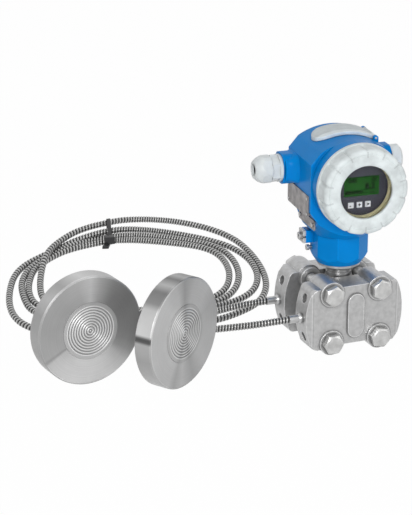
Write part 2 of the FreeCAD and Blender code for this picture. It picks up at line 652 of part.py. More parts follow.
def make_housing():
    body = new_body("housing_shell")
    axis = s.axis_height
    w = s.block_half_width
    land = s.land_half_width
    stem = s.stem_radius * 0.9
    arch = s.crown_half
    arch_z = axis + crown_up(arch)
    block = [
        (-stem, axis - s.blend_foot), (stem, axis - s.blend_foot), (land, axis - s.land_foot),
        (land, axis - s.land_top), (w, axis - s.block_foot), (w, axis + s.block_shoulder),
        (arch, arch_z, s.crown_radius), (-arch, arch_z), (-w, axis + s.block_shoulder),
        (-w, axis - s.block_foot), (-land, axis - s.land_top), (-land, axis - s.land_foot),
    ]
    pad(body, outline(body, "XZ_Plane", block), s.block_half_depth * 2, middle=True)
    blend = [
        (s.stem_radius, axis - s.blend_foot), (s.blend_radius, axis - s.blend_top),
        (s.blend_radius + 9, axis - s.blend_top), (s.blend_radius + 9, axis - s.blend_foot),
    ]
    turn_away(body, outline(body, "XZ_Plane", blend), "V_Axis")
    front = -collar_front()
    rear = s.block_half_depth
    barrel = [
        (front - s.spigot_length, 0), (rear + s.rear_spigot_length, 0),
        (rear + s.rear_spigot_length, s.rear_spigot_radius), (rear, s.rear_spigot_radius),
        (rear, s.barrel_radius - 1.5), (rear - 1.5, s.barrel_radius),
        (-s.block_half_depth + 2, s.barrel_radius), (-s.block_half_depth, s.collar_radius),
        (front, s.collar_radius), (front, s.spigot_radius),
        (front - s.spigot_length, s.spigot_radius),
    ]
    turn(body, outline(body, "YZ_Plane", barrel, (0, axis, 0)))
    stem = polygon_points(8, s.stem_radius * (2.0 * math.cos(math.pi / 8)), math.pi / 8)
    pad(body, outline(body, "XY_Plane", stem, (0, 0, s.stem_bottom)), axis - s.stem_bottom)
    bevel_top = s.stem_bottom + s.stem_bevel
    bevel = [(s.stem_foot_radius, s.stem_bottom - 1), (s.stem_foot_radius, s.stem_bottom),
             (s.stem_radius, bevel_top), (s.stem_radius + 3, bevel_top),
             (s.stem_radius + 3, s.stem_bottom - 1)]
    turn_away(body, outline(body, "XZ_Plane", bevel), "V_Axis")
    pad(body, outline(body, "YZ_Plane", entry_outline()), s.entry_reach * 2, middle=True)
    add_hinge_lugs(body)
    lug = s.earth_lug_half
    lug_box = [(s.earth_y - lug, s.earth_height - lug), (s.earth_y + lug, s.earth_height - lug),
               (s.earth_y + lug, s.earth_height + lug), (s.earth_y - lug, s.earth_height + lug)]
    pad(body, outline(body, "YZ_Plane", lug_box, (0, 0, -s.earth_lug_reach)),
        s.earth_lug_reach - s.stem_bore - 5)
    cut_compartments(body)
    cut_small_holes(body)
    return body


def crown_up(x):
    """Height of the crown above the housing's axis, x beside the middle."""
    return s.crown_top - s.crown_radius + root_of(s.crown_radius * s.crown_radius - x * x)


def entry_outline():
    """A cable entry's square boss with round corners, as (y, z) points."""
    y = s.entry_y
    z = s.axis_height + s.entry_rise
    h = s.entry_half
    d = s.entry_half_depth
    c = s.entry_corner
    return [
        (y - d + c, z - h), (y + d - c, z - h, c), (y + d, z - h + c), (y + d, z + h - c, c),
        (y + d - c, z + h), (y - d + c, z + h, c), (y - d, z + h - c), (y - d, z - h + c, c),
    ]


def add_hinge_lugs(body):
    """Two lugs on the crown, one at each end of the flap's hinge barrel."""
    x, z = hinge_place()
    half = s.lug_half_width
    low = s.axis_height + s.block_shoulder
    side = [(x - half, low), (x + half, low), (x + half, z, half), (x - half, z)]
    for start in (s.flap_front - s.face_gap - s.lug_thickness, s.flap_rear + s.face_gap):
        pad(body, outline(body, "XZ_Plane", side, (0, 0, -start)), s.lug_thickness, reverse=True)


def cut_compartments(body):
    """The hollows for display, terminals, wires, neck and cable entries."""
    axis = s.axis_height
    front = -collar_front() - s.spigot_length
    display_room = [(front, 0), (s.partition_front, 0), (s.partition_front, s.front_bore),
                    (front, s.front_bore)]
    turn_away(body, outline(body, "YZ_Plane", display_room, (0, axis, 0)))
    start = s.partition_front + s.partition_thickness
    rear = s.block_half_depth + s.rear_spigot_length
    terminal_room = [(start, 0), (rear, 0), (rear, s.rear_bore), (start, s.rear_bore)]
    turn_away(body, outline(body, "YZ_Plane", terminal_room, (0, axis, 0)))
    socket_top = s.stem_bottom + s.neck_spigot_height
    socket = s.neck_spigot_radius + s.turning_gap
    way = [(0, s.stem_bottom), (socket, s.stem_bottom), (socket, socket_top),
           (s.stem_bore, socket_top), (s.stem_bore, axis - s.front_bore * 0.8),
           (0, axis - s.front_bore * 0.8)]
    turn_away(body, outline(body, "XZ_Plane", way), "V_Axis")
    entry = [(s.entry_y, axis + s.entry_rise, s.entry_bore)]
    cut(body, rings(body, "YZ_Plane", entry), s.entry_reach * 2, middle=True)


def cut_small_holes(body):
    """Holes for the operating keys, the plates' fasteners, the screws and the cover seals."""
    axis = s.axis_height
    floor = push_floor()
    keys = [(s.push_pitch * i, push_y(), s.push_radius + s.turning_gap) for i in (-1, 0, 1)]
    cut(body, rings(body, "XY_Plane", keys, (0, 0, floor)), s.barrel_radius, reverse=True)
    hinge_x, hinge_z = hinge_place()
    pin = [(hinge_x, hinge_z, s.hinge_pin_radius)]
    cut(body, rings(body, "XZ_Plane", pin, (0, 0, -pin_rear())), pin_length(), reverse=True)
    for places, side in ((rivet_places(), -s.block_half_width),
                         (tag_screw_places(), -s.land_half_width)):
        shanks = [(y, z, s.small_shank_radius) for y, z in places]
        cut(body, rings(body, "YZ_Plane", shanks, (0, 0, side)), s.small_shank_length * 2,
            middle=True)
    earth = [(s.earth_y, s.earth_height, s.small_shank_radius * 1.8)]
    cut(body, rings(body, "YZ_Plane", earth, (0, 0, -s.earth_lug_reach)),
        s.small_shank_length * 2, middle=True)
    lock = [(s.earth_y, s.lock_height, s.small_shank_radius * 1.8)]
    cut(body, rings(body, "YZ_Plane", lock, (0, 0, -s.stem_radius)),
        s.small_shank_length * 2, middle=True)
    groove = s.seal_cord_radius
    for y, radius in (front_seal_place(), rear_seal_place()):
        channel = [(y - groove, radius - groove), (y + groove, radius - groove),
                   (y + groove, radius + groove), (y - groove, radius + groove)]
        turn_away(body, outline(body, "YZ_Plane", channel, (0, axis, 0)))


def front_seal_place():
    """The front cover seal's (y, radius)."""
    return -collar_front() - s.seal_cord_radius * 2.5, s.spigot_radius - s.seal_cord_radius


def rear_seal_place():
    """The rear cover seal's (y, radius)."""
    return s.block_half_depth + s.seal_cord_radius * 2.5, s.rear_spigot_radius - s.seal_cord_radius


def make_cover_seal(label, place):
    body = new_body(label)
    y, radius = place
    turn(body, rings(body, "YZ_Plane", [(y, radius, s.seal_cord_radius)], (0, s.axis_height, 0)))
    return body


def cover_rear():
    """The front cover's rear edge, as a y."""
    return -collar_front() - s.face_gap


def make_front_cover():
    body = new_body("front_cover")
    rear = cover_rear()
    front = rear - s.cover_length
    glass = front + s.window_lip
    seat = s.window_radius + s.face_gap
    bore_end = rear - s.cover_bore_depth
    profile = [
        (rear, s.cover_bore), (rear, s.cover_rim_radius),
        (rear - s.cover_rim_length, s.cover_rim_radius),
        (rear - s.cover_rim_length - 2, s.cover_radius - s.grip_depth),
        (rear - s.cover_rim_length - 4, s.cover_radius),
        (front + s.cover_edge, s.cover_radius), (front, s.cover_radius - s.cover_edge),
        (front, s.cover_radius - s.cover_edge * 2), (front + s.cover_dish, s.window_opening + 2),
        (front + s.cover_dish, s.window_opening), (glass, s.window_opening),
        (glass, seat), (bore_end, seat), (bore_end, s.cover_bore),
    ]
    turn(body, outline(body, "YZ_Plane", profile, (0, s.axis_height, 0)))
    cut_grips(body, s.cover_radius, front, s.cover_length - s.cover_rim_length - 4)
    return body


def cut_grips(body, radius, front, length):
    """Hollows round a cover's ring. They start at y = front and run to the rear."""
    around = radius + s.grip_radius - s.grip_depth
    sketch = rings(body, "XZ_Plane", [(0, s.axis_height + around, s.grip_radius)], (0, 0, -front))
    hollow = cut(body, sketch, length)
    pattern = body.newObject("PartDesign::PolarPattern", f"{body.Name}_grips")
    pattern.Originals = [hollow]
    centre = new_sketch(body, "XZ_Plane", (0, s.axis_height, 0))
    pattern.Axis = (centre, ["N_Axis"])
    pattern.Angle = 360.0
    pattern.setExpression("Occurrences", s.grip_count.text)
    body.Tip = pattern
    doc.recompute()


def make_window():
    body = new_body("cover_window")
    glass = cover_rear() - s.cover_length + s.window_lip
    sketch = rings(body, "XZ_Plane", [(0, s.axis_height, s.window_radius)], (0, 0, -glass))
    pad(body, sketch, s.window_thickness, reverse=True)
    return body


def make_window_ring():
    """The brass ring that holds the glass from behind."""
    body = new_body("window_ring")
    glass = cover_rear() - s.cover_length + s.window_lip + s.window_thickness
    ring = [(0, s.axis_height, s.window_radius), (0, s.axis_height, s.window_opening)]
    pad(body, rings(body, "XZ_Plane", ring, (0, 0, -glass)), s.ring_length, reverse=True)
    return body


def make_rear_cover():
    body = new_body("rear_cover")
    start = s.block_half_depth + s.face_gap
    end = start + s.rear_cover_length
    wall = s.rear_cover_wall
    inner = s.rear_spigot_radius + s.face_gap
    profile = [
        (start, inner), (end - wall - 2, inner), (end - wall, inner - s.rear_cover_taper),
        (end - wall, 0), (end, 0), (end, s.rear_cover_radius - s.rear_cover_taper - 3),
        (end - 3, s.rear_cover_radius - s.rear_cover_taper + 1.5), (start + 6, s.rear_cover_radius),
        (start, s.rear_cover_radius),
    ]
    turn(body, outline(body, "YZ_Plane", profile, (0, s.axis_height, 0)))
    return body


def display_front():
    """The display module's face, as a y."""
    return (cover_rear() - s.cover_length + s.window_lip + s.window_thickness
            + s.ring_length + s.display_gap)


def screen_box(grow):
    """The screen's outline as (x, z) corners."""
    half = s.screen_width / 2 + grow
    mid = s.axis_height + s.screen_rise
    rise = s.screen_height / 2 + grow
    return [(-half, mid - rise), (half, mid - rise), (half, mid + rise), (-half, mid + rise)]


def key_box(place, grow):
    """A display key's outline as (x, z) corners."""
    half = s.key_size / 2 + grow
    x = s.key_shift + s.key_pitch * place
    z = s.axis_height - s.key_drop
    return [(x - half, z - half), (x + half, z - half), (x + half, z + half), (x - half, z + half)]


def make_display():
    body = new_body("display_module")
    face = display_front()
    pad(body, rings(body, "XZ_Plane", [(0, s.axis_height, s.display_radius)], (0, 0, -face)),
        s.display_depth, reverse=True)
    cut(body, outline(body, "XZ_Plane", screen_box(0), (0, 0, -face)),
        s.screen_recess + s.screen_thickness)
    for place in (-1, 0, 1):
        cut(body, outline(body, "XZ_Plane", key_box(place, s.key_gap), (0, 0, -face)),
            s.key_depth - s.key_stand + 1.2)
    return body


def make_screen():
    body = new_body("display_screen")
    face = display_front() + s.screen_recess
    pad(body, outline(body, "XZ_Plane", screen_box(0), (0, 0, -face)), s.screen_thickness,
        reverse=True)
    return body


def make_display_key(label, place):
    body = new_body(label)
    face = display_front() - s.key_stand
    pad(body, outline(body, "XZ_Plane", key_box(place, 0), (0, 0, -face)), s.key_depth,
        reverse=True)
    return body


def make_insert():
    """The electronics between the display and the partition."""
    body = new_body("electronics_insert")
    start = display_front() + s.display_depth
    profile = [(start, 0), (s.partition_front, 0), (s.partition_front, s.insert_radius),
               (start, s.insert_radius)]
    turn(body, outline(body, "YZ_Plane", profile, (0, s.axis_height, 0)))
    return body


def make_terminals():
    """The terminal block on the partition, with a row of screw wells."""
    body = new_body("terminal_block")
    seat = s.partition_front + s.partition_thickness
    half = s.terminal_width / 2
    rise = s.terminal_height / 2
    mid = s.axis_height - 12
    box = [(-half, mid - rise), (half, mid - rise), (half, mid + rise), (-half, mid + rise)]
    pad(body, outline(body, "XZ_Plane", box, (0, 0, -seat)), s.terminal_depth, reverse=True)
    wells = [(s.terminal_width / 5 * i, mid, s.terminal_height / 6) for i in (-2, -1, 0, 1, 2)]
    wells = [(x * 0.95, z, r) for x, z, r in wells]
    cut(body, rings(body, "XZ_Plane", wells, (0, 0, -seat - s.terminal_depth)),
        s.terminal_depth / 2, reverse=True)
    return body


# ---------------------------------------------------------------------------------------
# Operating flap and its keys
# ---------------------------------------------------------------------------------------

def push_y():
    return (s.flap_front + s.flap_rear) / 2


def push_top():
    return s.axis_height + s.crown_top + s.push_stand


def push_floor():
    return push_top() - s.push_length - s.push_travel_room


def hinge_place():
    """The flap's hinge axis as (x, z), just off the crown's right shoulder."""
    x = s.flap_half_chord + s.hinge_radius * 0.6
    reach = s.crown_radius + s.hinge_radius + s.face_gap
    return x, crown_centre() + root_of(reach * reach - x * x)


def crown_centre():
    """Height of the centre that the crown and the flap are bent about."""
    return s.axis_height + s.crown_top - s.crown_radius


def pin_rear():
    """The rear end of the flap's pin, as a y."""
    return s.flap_rear + s.face_gap + s.lug_thickness


def pin_length():
    return s.flap_rear - s.flap_front + (s.face_gap + s.lug_thickness) * 2


def make_flap():
    """A strip bent over the crown, hollow over the keys, with a hinge barrel at its right end."""
    body = new_body("operating_flap")
    centre = crown_centre()
    inner = s.crown_radius + s.face_gap
    outer = inner + s.flap_thickness
    chord = s.flap_half_chord
    width = s.flap_rear - s.flap_front
    base = (0, 0, -s.flap_rear)
    low_in = centre + root_of(inner * inner - chord * chord)
    low_out = centre + root_of(outer * outer - chord * chord)
    strip = [(chord, low_in), (chord, low_out, outer), (-chord, low_out), (-chord, low_in, -inner)]
    pad(body, outline(body, "XZ_Plane", strip, base), width)
    hinge_x, hinge_z = hinge_place()
    pad(body, rings(body, "XZ_Plane", [(hinge_x, hinge_z, s.hinge_radius)], base), width)
    ceiling = inner + s.flap_recess
    wide = s.push_pitch + s.push_radius + 2
    room_low = centre + root_of(inner * inner - wide * wide) - 1
    room_high = centre + root_of(ceiling * ceiling - wide * wide)
    room = [(wide, room_low), (wide, room_high, ceiling), (-wide, room_high), (-wide, room_low)]
    cut(body, outline(body, "XZ_Plane", room, (0, 0, -push_y())), s.push_radius * 2 + 6,
        middle=True)
    pin = [(hinge_x, hinge_z, s.hinge_pin_radius + s.turning_gap)]
    cut(body, rings(body, "XZ_Plane", pin, base), width * 2, middle=True)
    round_flap_end(body)
    return body


def round_flap_end(body):
    """Round the flap's free end, seen from above."""
    chord = s.flap_half_chord
    half = (s.flap_rear - s.flap_front) / 2
    mid = push_y()
    for side in (-1, 1):
        corner = [(-chord - 4, mid), (-chord - 4, mid + (half + 4) * side),
                  (-chord + half, mid + (half + 4) * side),
                  (-chord + half, mid + half * side, half * side),
                  (-chord, mid)]
        cut(body, outline(body, "XY_Plane", corner, (0, 0, s.axis_height)), s.crown_top * 2,
            reverse=True)


def make_flap_pin():
    body = new_body("flap_pin")
    hinge_x, hinge_z = hinge_place()
    sketch = rings(body, "XZ_Plane", [(hinge_x, hinge_z, s.hinge_pin_radius)],
                   (0, 0, -pin_rear()))
    pad(body, sketch, pin_length())
    return body


def make_push_key(label, place):
    body = new_body(label)
    sketch = rings(body, "XY_Plane", [(s.push_pitch * place, push_y(), s.push_radius)],
                   (0, 0, push_top() - s.push_length))
    pad(body, sketch, s.push_length)
    return body


# ---------------------------------------------------------------------------------------
# Cable gland and blanking plug
# ---------------------------------------------------------------------------------------

def entry_offset():
    """Sketch offset that puts the sketch's own X axis on the cable entries' axis."""
    return 0, s.entry_y, s.axis_height + s.entry_rise


def gland_faces():
    """Distances from the centre to the gland's washer, hexagon, nut and nut end."""
    washer = s.entry_reach
    hexagon = washer + s.gland_washer_length
    nut = hexagon + s.gland_hex_length + s.face_gap
    return washer, hexagon, nut, nut + s.nut_length


def make_gland():
    body = new_body("gland_body")
    washer, hexagon, nut, _ = gland_faces()
    core_end = nut + s.gland_core_length
    profile = [
        (-washer + s.gland_thread_length, s.gland_bore),
        (-washer + s.gland_thread_length, s.entry_bore - s.turning_gap),
        (-washer, s.entry_bore - s.turning_gap), (-washer, s.gland_washer_radius),
        (-hexagon, s.gland_washer_radius), (-hexagon, s.gland_core_radius),
        (-core_end, s.gland_core_radius), (-core_end, s.gland_bore),
    ]
    turn(body, outline(body, "XY_Plane", profile, entry_offset()))
    hex_edge = polygon_points(6, s.gland_flats, math.pi / 6,
                              (s.entry_y, s.axis_height + s.entry_rise))
    pad(body, outline(body, "YZ_Plane", hex_edge, (0, 0, -hexagon - s.gland_hex_length)),
        s.gland_hex_length)
    bore = [(s.entry_y, s.axis_height + s.entry_rise, s.gland_bore)]
    cut(body, rings(body, "YZ_Plane", bore, (0, 0, -hexagon)), s.gland_hex_length * 3, middle=True)
    return body


def make_gland_nut():
    """The dome nut: a hexagon whose outer end is rounded down to its nose."""
    body = new_body("gland_nut")
    _, _, start, end = gland_faces()
    hex_edge = polygon_points(6, s.nut_flats, 0.0, (s.entry_y, s.axis_height + s.entry_rise))
    pad(body, outline(body, "YZ_Plane", hex_edge, (0, 0, -end)), s.nut_length)
    clear = s.nut_flats
    corner = s.nut_flats / 2 * 1.06
    dome = [(-start - s.nut_length * 0.45, corner, 1.1 * s.nut_length),
            (-end, s.nut_nose), (-end - 1, s.nut_nose), (-end - 1, clear), (-start + 1, clear),
            (-start + 1, corner)]
    turn_away(body, outline(body, "XY_Plane", dome, entry_offset()))
    hollow = s.gland_core_radius + s.face_gap
    depth = s.gland_core_length + 1
    room = [(-start, 0), (-start, hollow), (-start - depth, hollow), (-start - depth, s.nut_hole),
            (-end, s.nut_hole), (-end, 0)]
    turn_away(body, outline(body, "XY_Plane", room, entry_offset()))
    return body


def make_gland_seal():
    """The rubber bush that grips the cable inside the gland."""
    body = new_body("gland_seal")
    _, _, start, _ = gland_faces()
    end = start + s.gland_core_length
    profile = [(-end, s.nut_hole), (-end, s.gland_bore), (-end + s.gland_core_length, s.gland_bore),
               (-end + s.gland_core_length, s.nut_hole)]
    turn(body, outline(body, "XY_Plane", profile, entry_offset()))
    return body


def make_plug():
    body = new_body("blanking_plug")
    face = s.entry_reach + s.plug_washer
    end = face + s.plug_head_length
    profile = [
        (s.entry_reach - s.plug_thread_length, 0),
        (s.entry_reach - s.plug_thread_length, s.entry_bore - s.turning_gap),
        (face, s.entry_bore - s.turning_gap), (face, s.plug_head_radius + 2),
        (end - 2.5, s.plug_head_radius + 2), (end, s.plug_head_radius - 0.5), (end, 0),
    ]
    turn(body, outline(body, "XY_Plane", profile, entry_offset()))
    slot = polygon_points(6, s.plug_head_radius, 0.0, (s.entry_y, s.axis_height + s.entry_rise))
    cut(body, outline(body, "YZ_Plane", slot, (0, 0, end)), s.plug_head_length * 1.2, middle=True)
    return body


def make_plug_seal():
    body = new_body("plug_seal")
    centre = (s.entry_y, s.axis_height + s.entry_rise)
    ring = [(*centre, s.plug_head_radius + 1.6), (*centre, s.entry_bore)]
    pad(body, rings(body, "YZ_Plane", ring, (0, 0, s.entry_reach)), s.plug_washer)
    return body


# ---------------------------------------------------------------------------------------
# Plates, earth terminal and locking screw
# ---------------------------------------------------------------------------------------

def rivet_places():
    inset = s.rivet_radius * 2
    return [(y, z) for y in (s.nameplate_front + inset, s.nameplate_rear - inset)
            for z in (s.nameplate_low + inset, s.nameplate_high - inset)]


def tag_screw_places():
    mid = (s.tag_low + s.tag_high) / 2
    inset = s.small_screw_radius * 2.5
    return [(s.tag_front + inset, mid), (s.tag_rear - inset, mid)]


def make_plate(label, side, front, rear, low, high, holes):
    body = new_body(label)
    corner = 2.0
    edge = [(front + corner, low), (rear - corner, low, corner), (rear, low + corner),
            (rear, high - corner, corner), (rear - corner, high), (front + corner, high, corner),
            (front, high - corner), (front, low + corner, corner)]
    pad(body, outline(body, "YZ_Plane", edge, (0, 0, side - s.plate_thickness)), s.plate_thickness)
    cut(body, rings(body, "YZ_Plane", [(y, z, s.small_shank_radius) for y, z in holes],
                    (0, 0, side)), s.plate_thickness * 3, middle=True)
    return body


def make_small_fasteners(label, side, places, radius, height):
    """Round heads on a plate, each with a shank into the housing."""
    body = new_body(label)
    face = side - s.plate_thickness
    pad(body, rings(body, "YZ_Plane", [(y, z, radius) for y, z in places],
                    (0, 0, face - height)), height)
    shanks = [(y, z, s.small_shank_radius) for y, z in places]
    pad(body, rings(body, "YZ_Plane", shanks, (0, 0, face - height)),
        height + s.plate_thickness + s.small_shank_length)
    return body


def make_earth_clamp():
    """A bent clamp plate against the lug."""
    body = new_body("earth_clamp")
    y, z = s.earth_y, s.earth_height
    half = s.earth_lug_half
    edge = [(y - half, z - half), (y + half, z - half), (y + half, z + half), (y - half, z + half)]
    sketch = outline(body, "YZ_Plane", edge, (0, 0, -s.earth_lug_reach - s.earth_clamp))
    pad(body, sketch, s.earth_clamp)
    notch = [(y - half, z - 1), (y - half + 2, z - 1), (y - half + 2, z + 1), (y - half, z + 1)]
    cut(body, outline(body, "YZ_Plane", notch, (0, 0, -s.earth_lug_reach)), s.earth_clamp * 3,
        middle=True)
    hole = [(y, z, s.small_shank_radius * 1.8)]
    cut(body, rings(body, "YZ_Plane", hole, (0, 0, -s.earth_lug_reach)), s.earth_clamp * 3,
        middle=True)
    return body


def make_screw(label, height, start, shank_end, head_radius, head_length):
    """A socket screw that points along +X from start."""
    body = new_body(label)
    y = s.earth_y
    pad(body, rings(body, "YZ_Plane", [(y, height, head_radius)], (0, 0, -start - head_length)),
        head_length)
    socket = polygon_points(6, head_radius * 0.9, 0.0, (y, height))
    cut(body, outline(body, "YZ_Plane", socket, (0, 0, -start - head_length)), head_length,
        middle=True)
    pad(body, rings(body, "YZ_Plane", [(y, height, s.small_shank_radius * 1.8)], (0, 0, -start)),
        start - shank_end)
    return body


# ---------------------------------------------------------------------------------------
# Diaphragm seals
# ---------------------------------------------------------------------------------------

def place_seal(body, name):
    """Stand a piece of a seal at that seal's place, turned about the upright."""
    place(body, f"sizes.{name}_seal_x", f"sizes.{name}_seal_y", f"sizes.{name}_seal_turn")


def make_seal_disc(name):
    """A seal's steel body. Its face looks along -Y before it is placed."""
    body = new_body(f"seal_disc_{name}")
    edge = s.seal_edge
    depth = s.seal_thickness
    profile = [
        (s.seat_depth, 0), (depth, 0), (depth, s.seal_radius - edge), (depth - edge, s.seal_radius),
        (edge, s.seal_radius), (0, s.seal_radius - edge), (0, s.seat_radius),
        (s.seat_depth, s.seat_radius - 0.8),
    ]
    turn(body, outline(body, "YZ_Plane", profile, (0, s.seal_radius, 0)))
    hole = [(s.outlet_offset, s.seal_radius, s.port_radius)]
    cut(body, rings(body, "XZ_Plane", hole, (0, 0, -depth)), depth / 2, reverse=True)
    place_seal(body, name)
    return body


def make_diaphragm(name):
    """A thin steel disc with concentric waves, welded into its seat."""
    body = new_body(f"diaphragm_{name}")
    back = s.seat_depth
    low = back - s.diaphragm_thickness
    count = 9
    profile = [(back, 0), (back, s.diaphragm_radius), (low, s.diaphragm_radius)]
    for i in range(count):
        ridge = s.diaphragm_radius - s.wave_pitch * (i + 0.5)
        profile.append((low - s.wave_rise, ridge))
        profile.append((low, ridge - s.wave_pitch / 2))
    profile.append((low, 0))
    turn(body, outline(body, "YZ_Plane", profile, (0, s.seal_radius, 0)))
    place_seal(body, name)
    return body


def make_outlet(name):
    """The capillary outlet on a seal's back."""
    body = new_body(f"seal_outlet_{name}")
    back = s.seal_thickness
    end = back + s.outlet_length
    profile = [(back, 0), (back, s.outlet_radius), (end - 3, s.outlet_radius),
               (end, s.sleeve_radius + 1), (end, 0)]
    turn(body, outline(body, "YZ_Plane", profile, (0, s.seal_radius, s.outlet_offset)))
    place_seal(body, name)
    return body


# ---------------------------------------------------------------------------------------
# Capillaries
# ---------------------------------------------------------------------------------------

def make_adapter(label, side):
    """The welded adapter and hose sleeve in a flange's end face."""
    body = new_body(label)
    start = s.flange_half_length
    end = start + s.adapter_length
    tip = end + s.sleeve_length
    y = (s.cell_half_gap + s.flange_thickness / 2) * side
    profile = [(-start, 0), (-start, s.adapter_radius), (-end + 2, s.adapter_radius),
               (-end, s.sleeve_radius), (-tip, s.sleeve_radius), (-tip, 0)]
    turn(body, outline(body, "XY_Plane", profile, (0, y, s.flange_mid_height)))
    return body


def hose_start(side):
    """Where a hose leaves its adapter's sleeve."""
    x = s.flange_half_length + s.adapter_length + s.sleeve_length
    y = (s.cell_half_gap + s.flange_thickness / 2) * side
    return FreeCAD.Vector(-x.number, y.number, s.flange_mid_height.number)


def outlet_end(name, reach):
    """A point reach behind a seal's back on its outlet's axis."""
    turned = math.radians(getattr(s, f"{name}_seal_turn").number)
    side = s.outlet_offset.number
    back = s.seal_thickness.number + reach
    x = getattr(s, f"{name}_seal_x").number + side * math.cos(turned) - back * math.sin(turned)
    y = getattr(s, f"{name}_seal_y").number + side * math.sin(turned) + back * math.cos(turned)
    return FreeCAD.Vector(x, y, s.seal_radius.number)


def cell_axis():
    """The foot of the measuring cell's axis, from the origin."""
    return FreeCAD.Vector(float(sheet.get("cell_x")), float(sheet.get("cell_y")), 0)


def bent_tube(label, points, diameter):
    """A round tube along straight runs joined by the largest tangent arcs that fit."""
    edges = []
    radii = []
    start = points[0]
    for before, corner, after in zip(points, points[1:], points[2:]):
        into = (corner - before).normalize()
        out = (after - corner).normalize()
        turned = into.getAngle(out)
        shorter = min((corner - before).Length, (after - corner).Length)
        trim = 0.45 * shorter
        radius = trim / math.tan(turned / 2.0)
        radii.append(radius)
        first = corner - into * trim
        last = corner + out * trim
        middle_way = (out - into).normalize()
        centre = corner + middle_way * (radius / math.cos(turned / 2.0))
        middle = centre + (corner - centre).normalize() * radius
        edges.append(Part.LineSegment(start, first).toShape())
        edges.append(Part.Arc(first, middle, last).toShape())
        start = last
    edges.append(Part.LineSegment(start, points[-1]).toShape())
    path = Part.Wire(edges)
    direction = (points[1] - points[0]).normalize()
    section = Part.Wire([Part.makeCircle(diameter / 2.0, points[0], direction)])
    solid = path.makePipeShell([section], True, False)
    expected = math.pi * diameter ** 2 / 4.0 * path.Length
    print(f"{label}: length {path.Length:.0f}, least radius {min(radii):.0f}, "
          f"volume ratio {solid.Volume / expected:.4f}")
    item = doc.addObject("Part::Feature", label)
    item.Label = label
    item.Shape = solid
    item.Placement = FreeCAD.Placement(cell_axis(), FreeCAD.Rotation())
    NODES.append(item)
    return item


def make_leads():
    """The two hoses from the flanges down to the coil on the floor."""
    v = FreeCAD.Vector
    front = [hose_start(-1), v(-84, -28, 39), v(-103, -23, 36.5), v(-131, -2, 29), v(-163, 26, 17), v(-196, 54, 7),
             v(-227, 86, 5), v(-250, 128, 6)]
    rear = [hose_start(1), v(-84, 28, 39), v(-103, 30.5, 37), v(-127, 39, 30), v(-156, 57, 19), v(-186, 78, 10),
            v(-213, 104, 8)]
    bent_tube("capillary_lead_front", front, s.hose_diameter.number)
    bent_tube("capillary_lead_rear", rear, s.hose_diameter.number)


def make_tails():
    """The two hoses from the coil up to the seals."""
    v = FreeCAD.Vector
    left_end = outlet_end("left", s.outlet_length.number)
    right_end = outlet_end("right", s.outlet_length.number)
    left = [left_end, outlet_end("left", s.outlet_length.number + 24), v(-275, 70, 50), v(-261, 98, 32),
            v(-232, 112, 15), v(-200, 106, 9)]
    right = [right_end, outlet_end("right", s.outlet_length.number + 24), v(-223, 40, 51), v(-216, 68, 35),
             v(-190, 88, 18), v(-158, 96, 9)]
    bent_tube("capillary_tail_left", left, s.hose_diameter.number)
    bent_tube("capillary_tail_right", right, s.hose_diameter.number)


def make_coil():
    """The lying coil as one flat oval ring."""
    height = s.coil_height.number
    v = FreeCAD.Vector
    outer = Part.Ellipse(v(-140, 426, 0), v(-296, 250, 0), v(-140, 250, 0))
    inner = Part.Ellipse(v(-135, 346, 0), v(-243, 237, 0), v(-135, 237, 0))
    solids = [Part.Face(Part.Wire([curve.toShape()])).extrude(v(0, 0, height))
              for curve in (outer, inner)]
    item = doc.addObject("Part::Feature", "capillary_coil")
    item.Label = "capillary_coil"
    item.Shape = solids[0].cut(solids[1])
    item.Placement = FreeCAD.Placement(cell_axis(), FreeCAD.Rotation())
    NODES.append(item)


def make_tie():
    """A strap round the bundled hoses."""
    v = FreeCAD.Vector
    strap = Part.makeBox(7, 30, 24, v(-3.5, -15, 0))
    room = Part.makeBox(9, 27, 21, v(-4.5, -13.5, 1.5))
    item = doc.addObject("Part::Feature", "cable_tie")
    item.Label = "cable_tie"
    item.Shape = strap.cut(room)
    turned = FreeCAD.Rotation(v(0, 0, 1), 22)
    item.Placement = FreeCAD.Placement(cell_axis() + v(-124, 362, 0.2), turned)
    NODES.append(item)


# ---------------------------------------------------------------------------------------
# Build, check and write
# ---------------------------------------------------------------------------------------

def settle_origin():
    """Move the cell's axis so that the origin is under the middle of all that is built."""
    box = FreeCAD.BoundBox()
    for node in NODES:
        box.add(node.Shape.BoundBox)
    for alias, middle in (("cell_x", box.Center.x), ("cell_y", box.Center.y)):
        sheet.set(sheet.getCellFromAlias(alias), f"{-middle:.3f}")
    doc.recompute()
    print(f"cell axis at {cell_axis().x:.3f}, {cell_axis().y:.3f}, lowest point {box.ZMin:.3f}")


def build():
    make_cell()
    for label, side in (("front", -1), ("rear", 1)):
        make_flange(f"{label}_flange", side)
        make_cell_seal(f"{label}_cell_seal", side)
        make_adapter(f"capillary_adapter_{label}", side)
    make_bolts()
    make_nuts()
    make_neck()
    for body in NODES:
        place(body)
    build_housing()
    for name in ("left", "right"):
        make_seal_disc(name)
        make_diaphragm(name)
        make_outlet(name)
    settle_origin()
    make_leads()
    make_tails()
    make_coil()
    make_tie()
    doc.recompute()


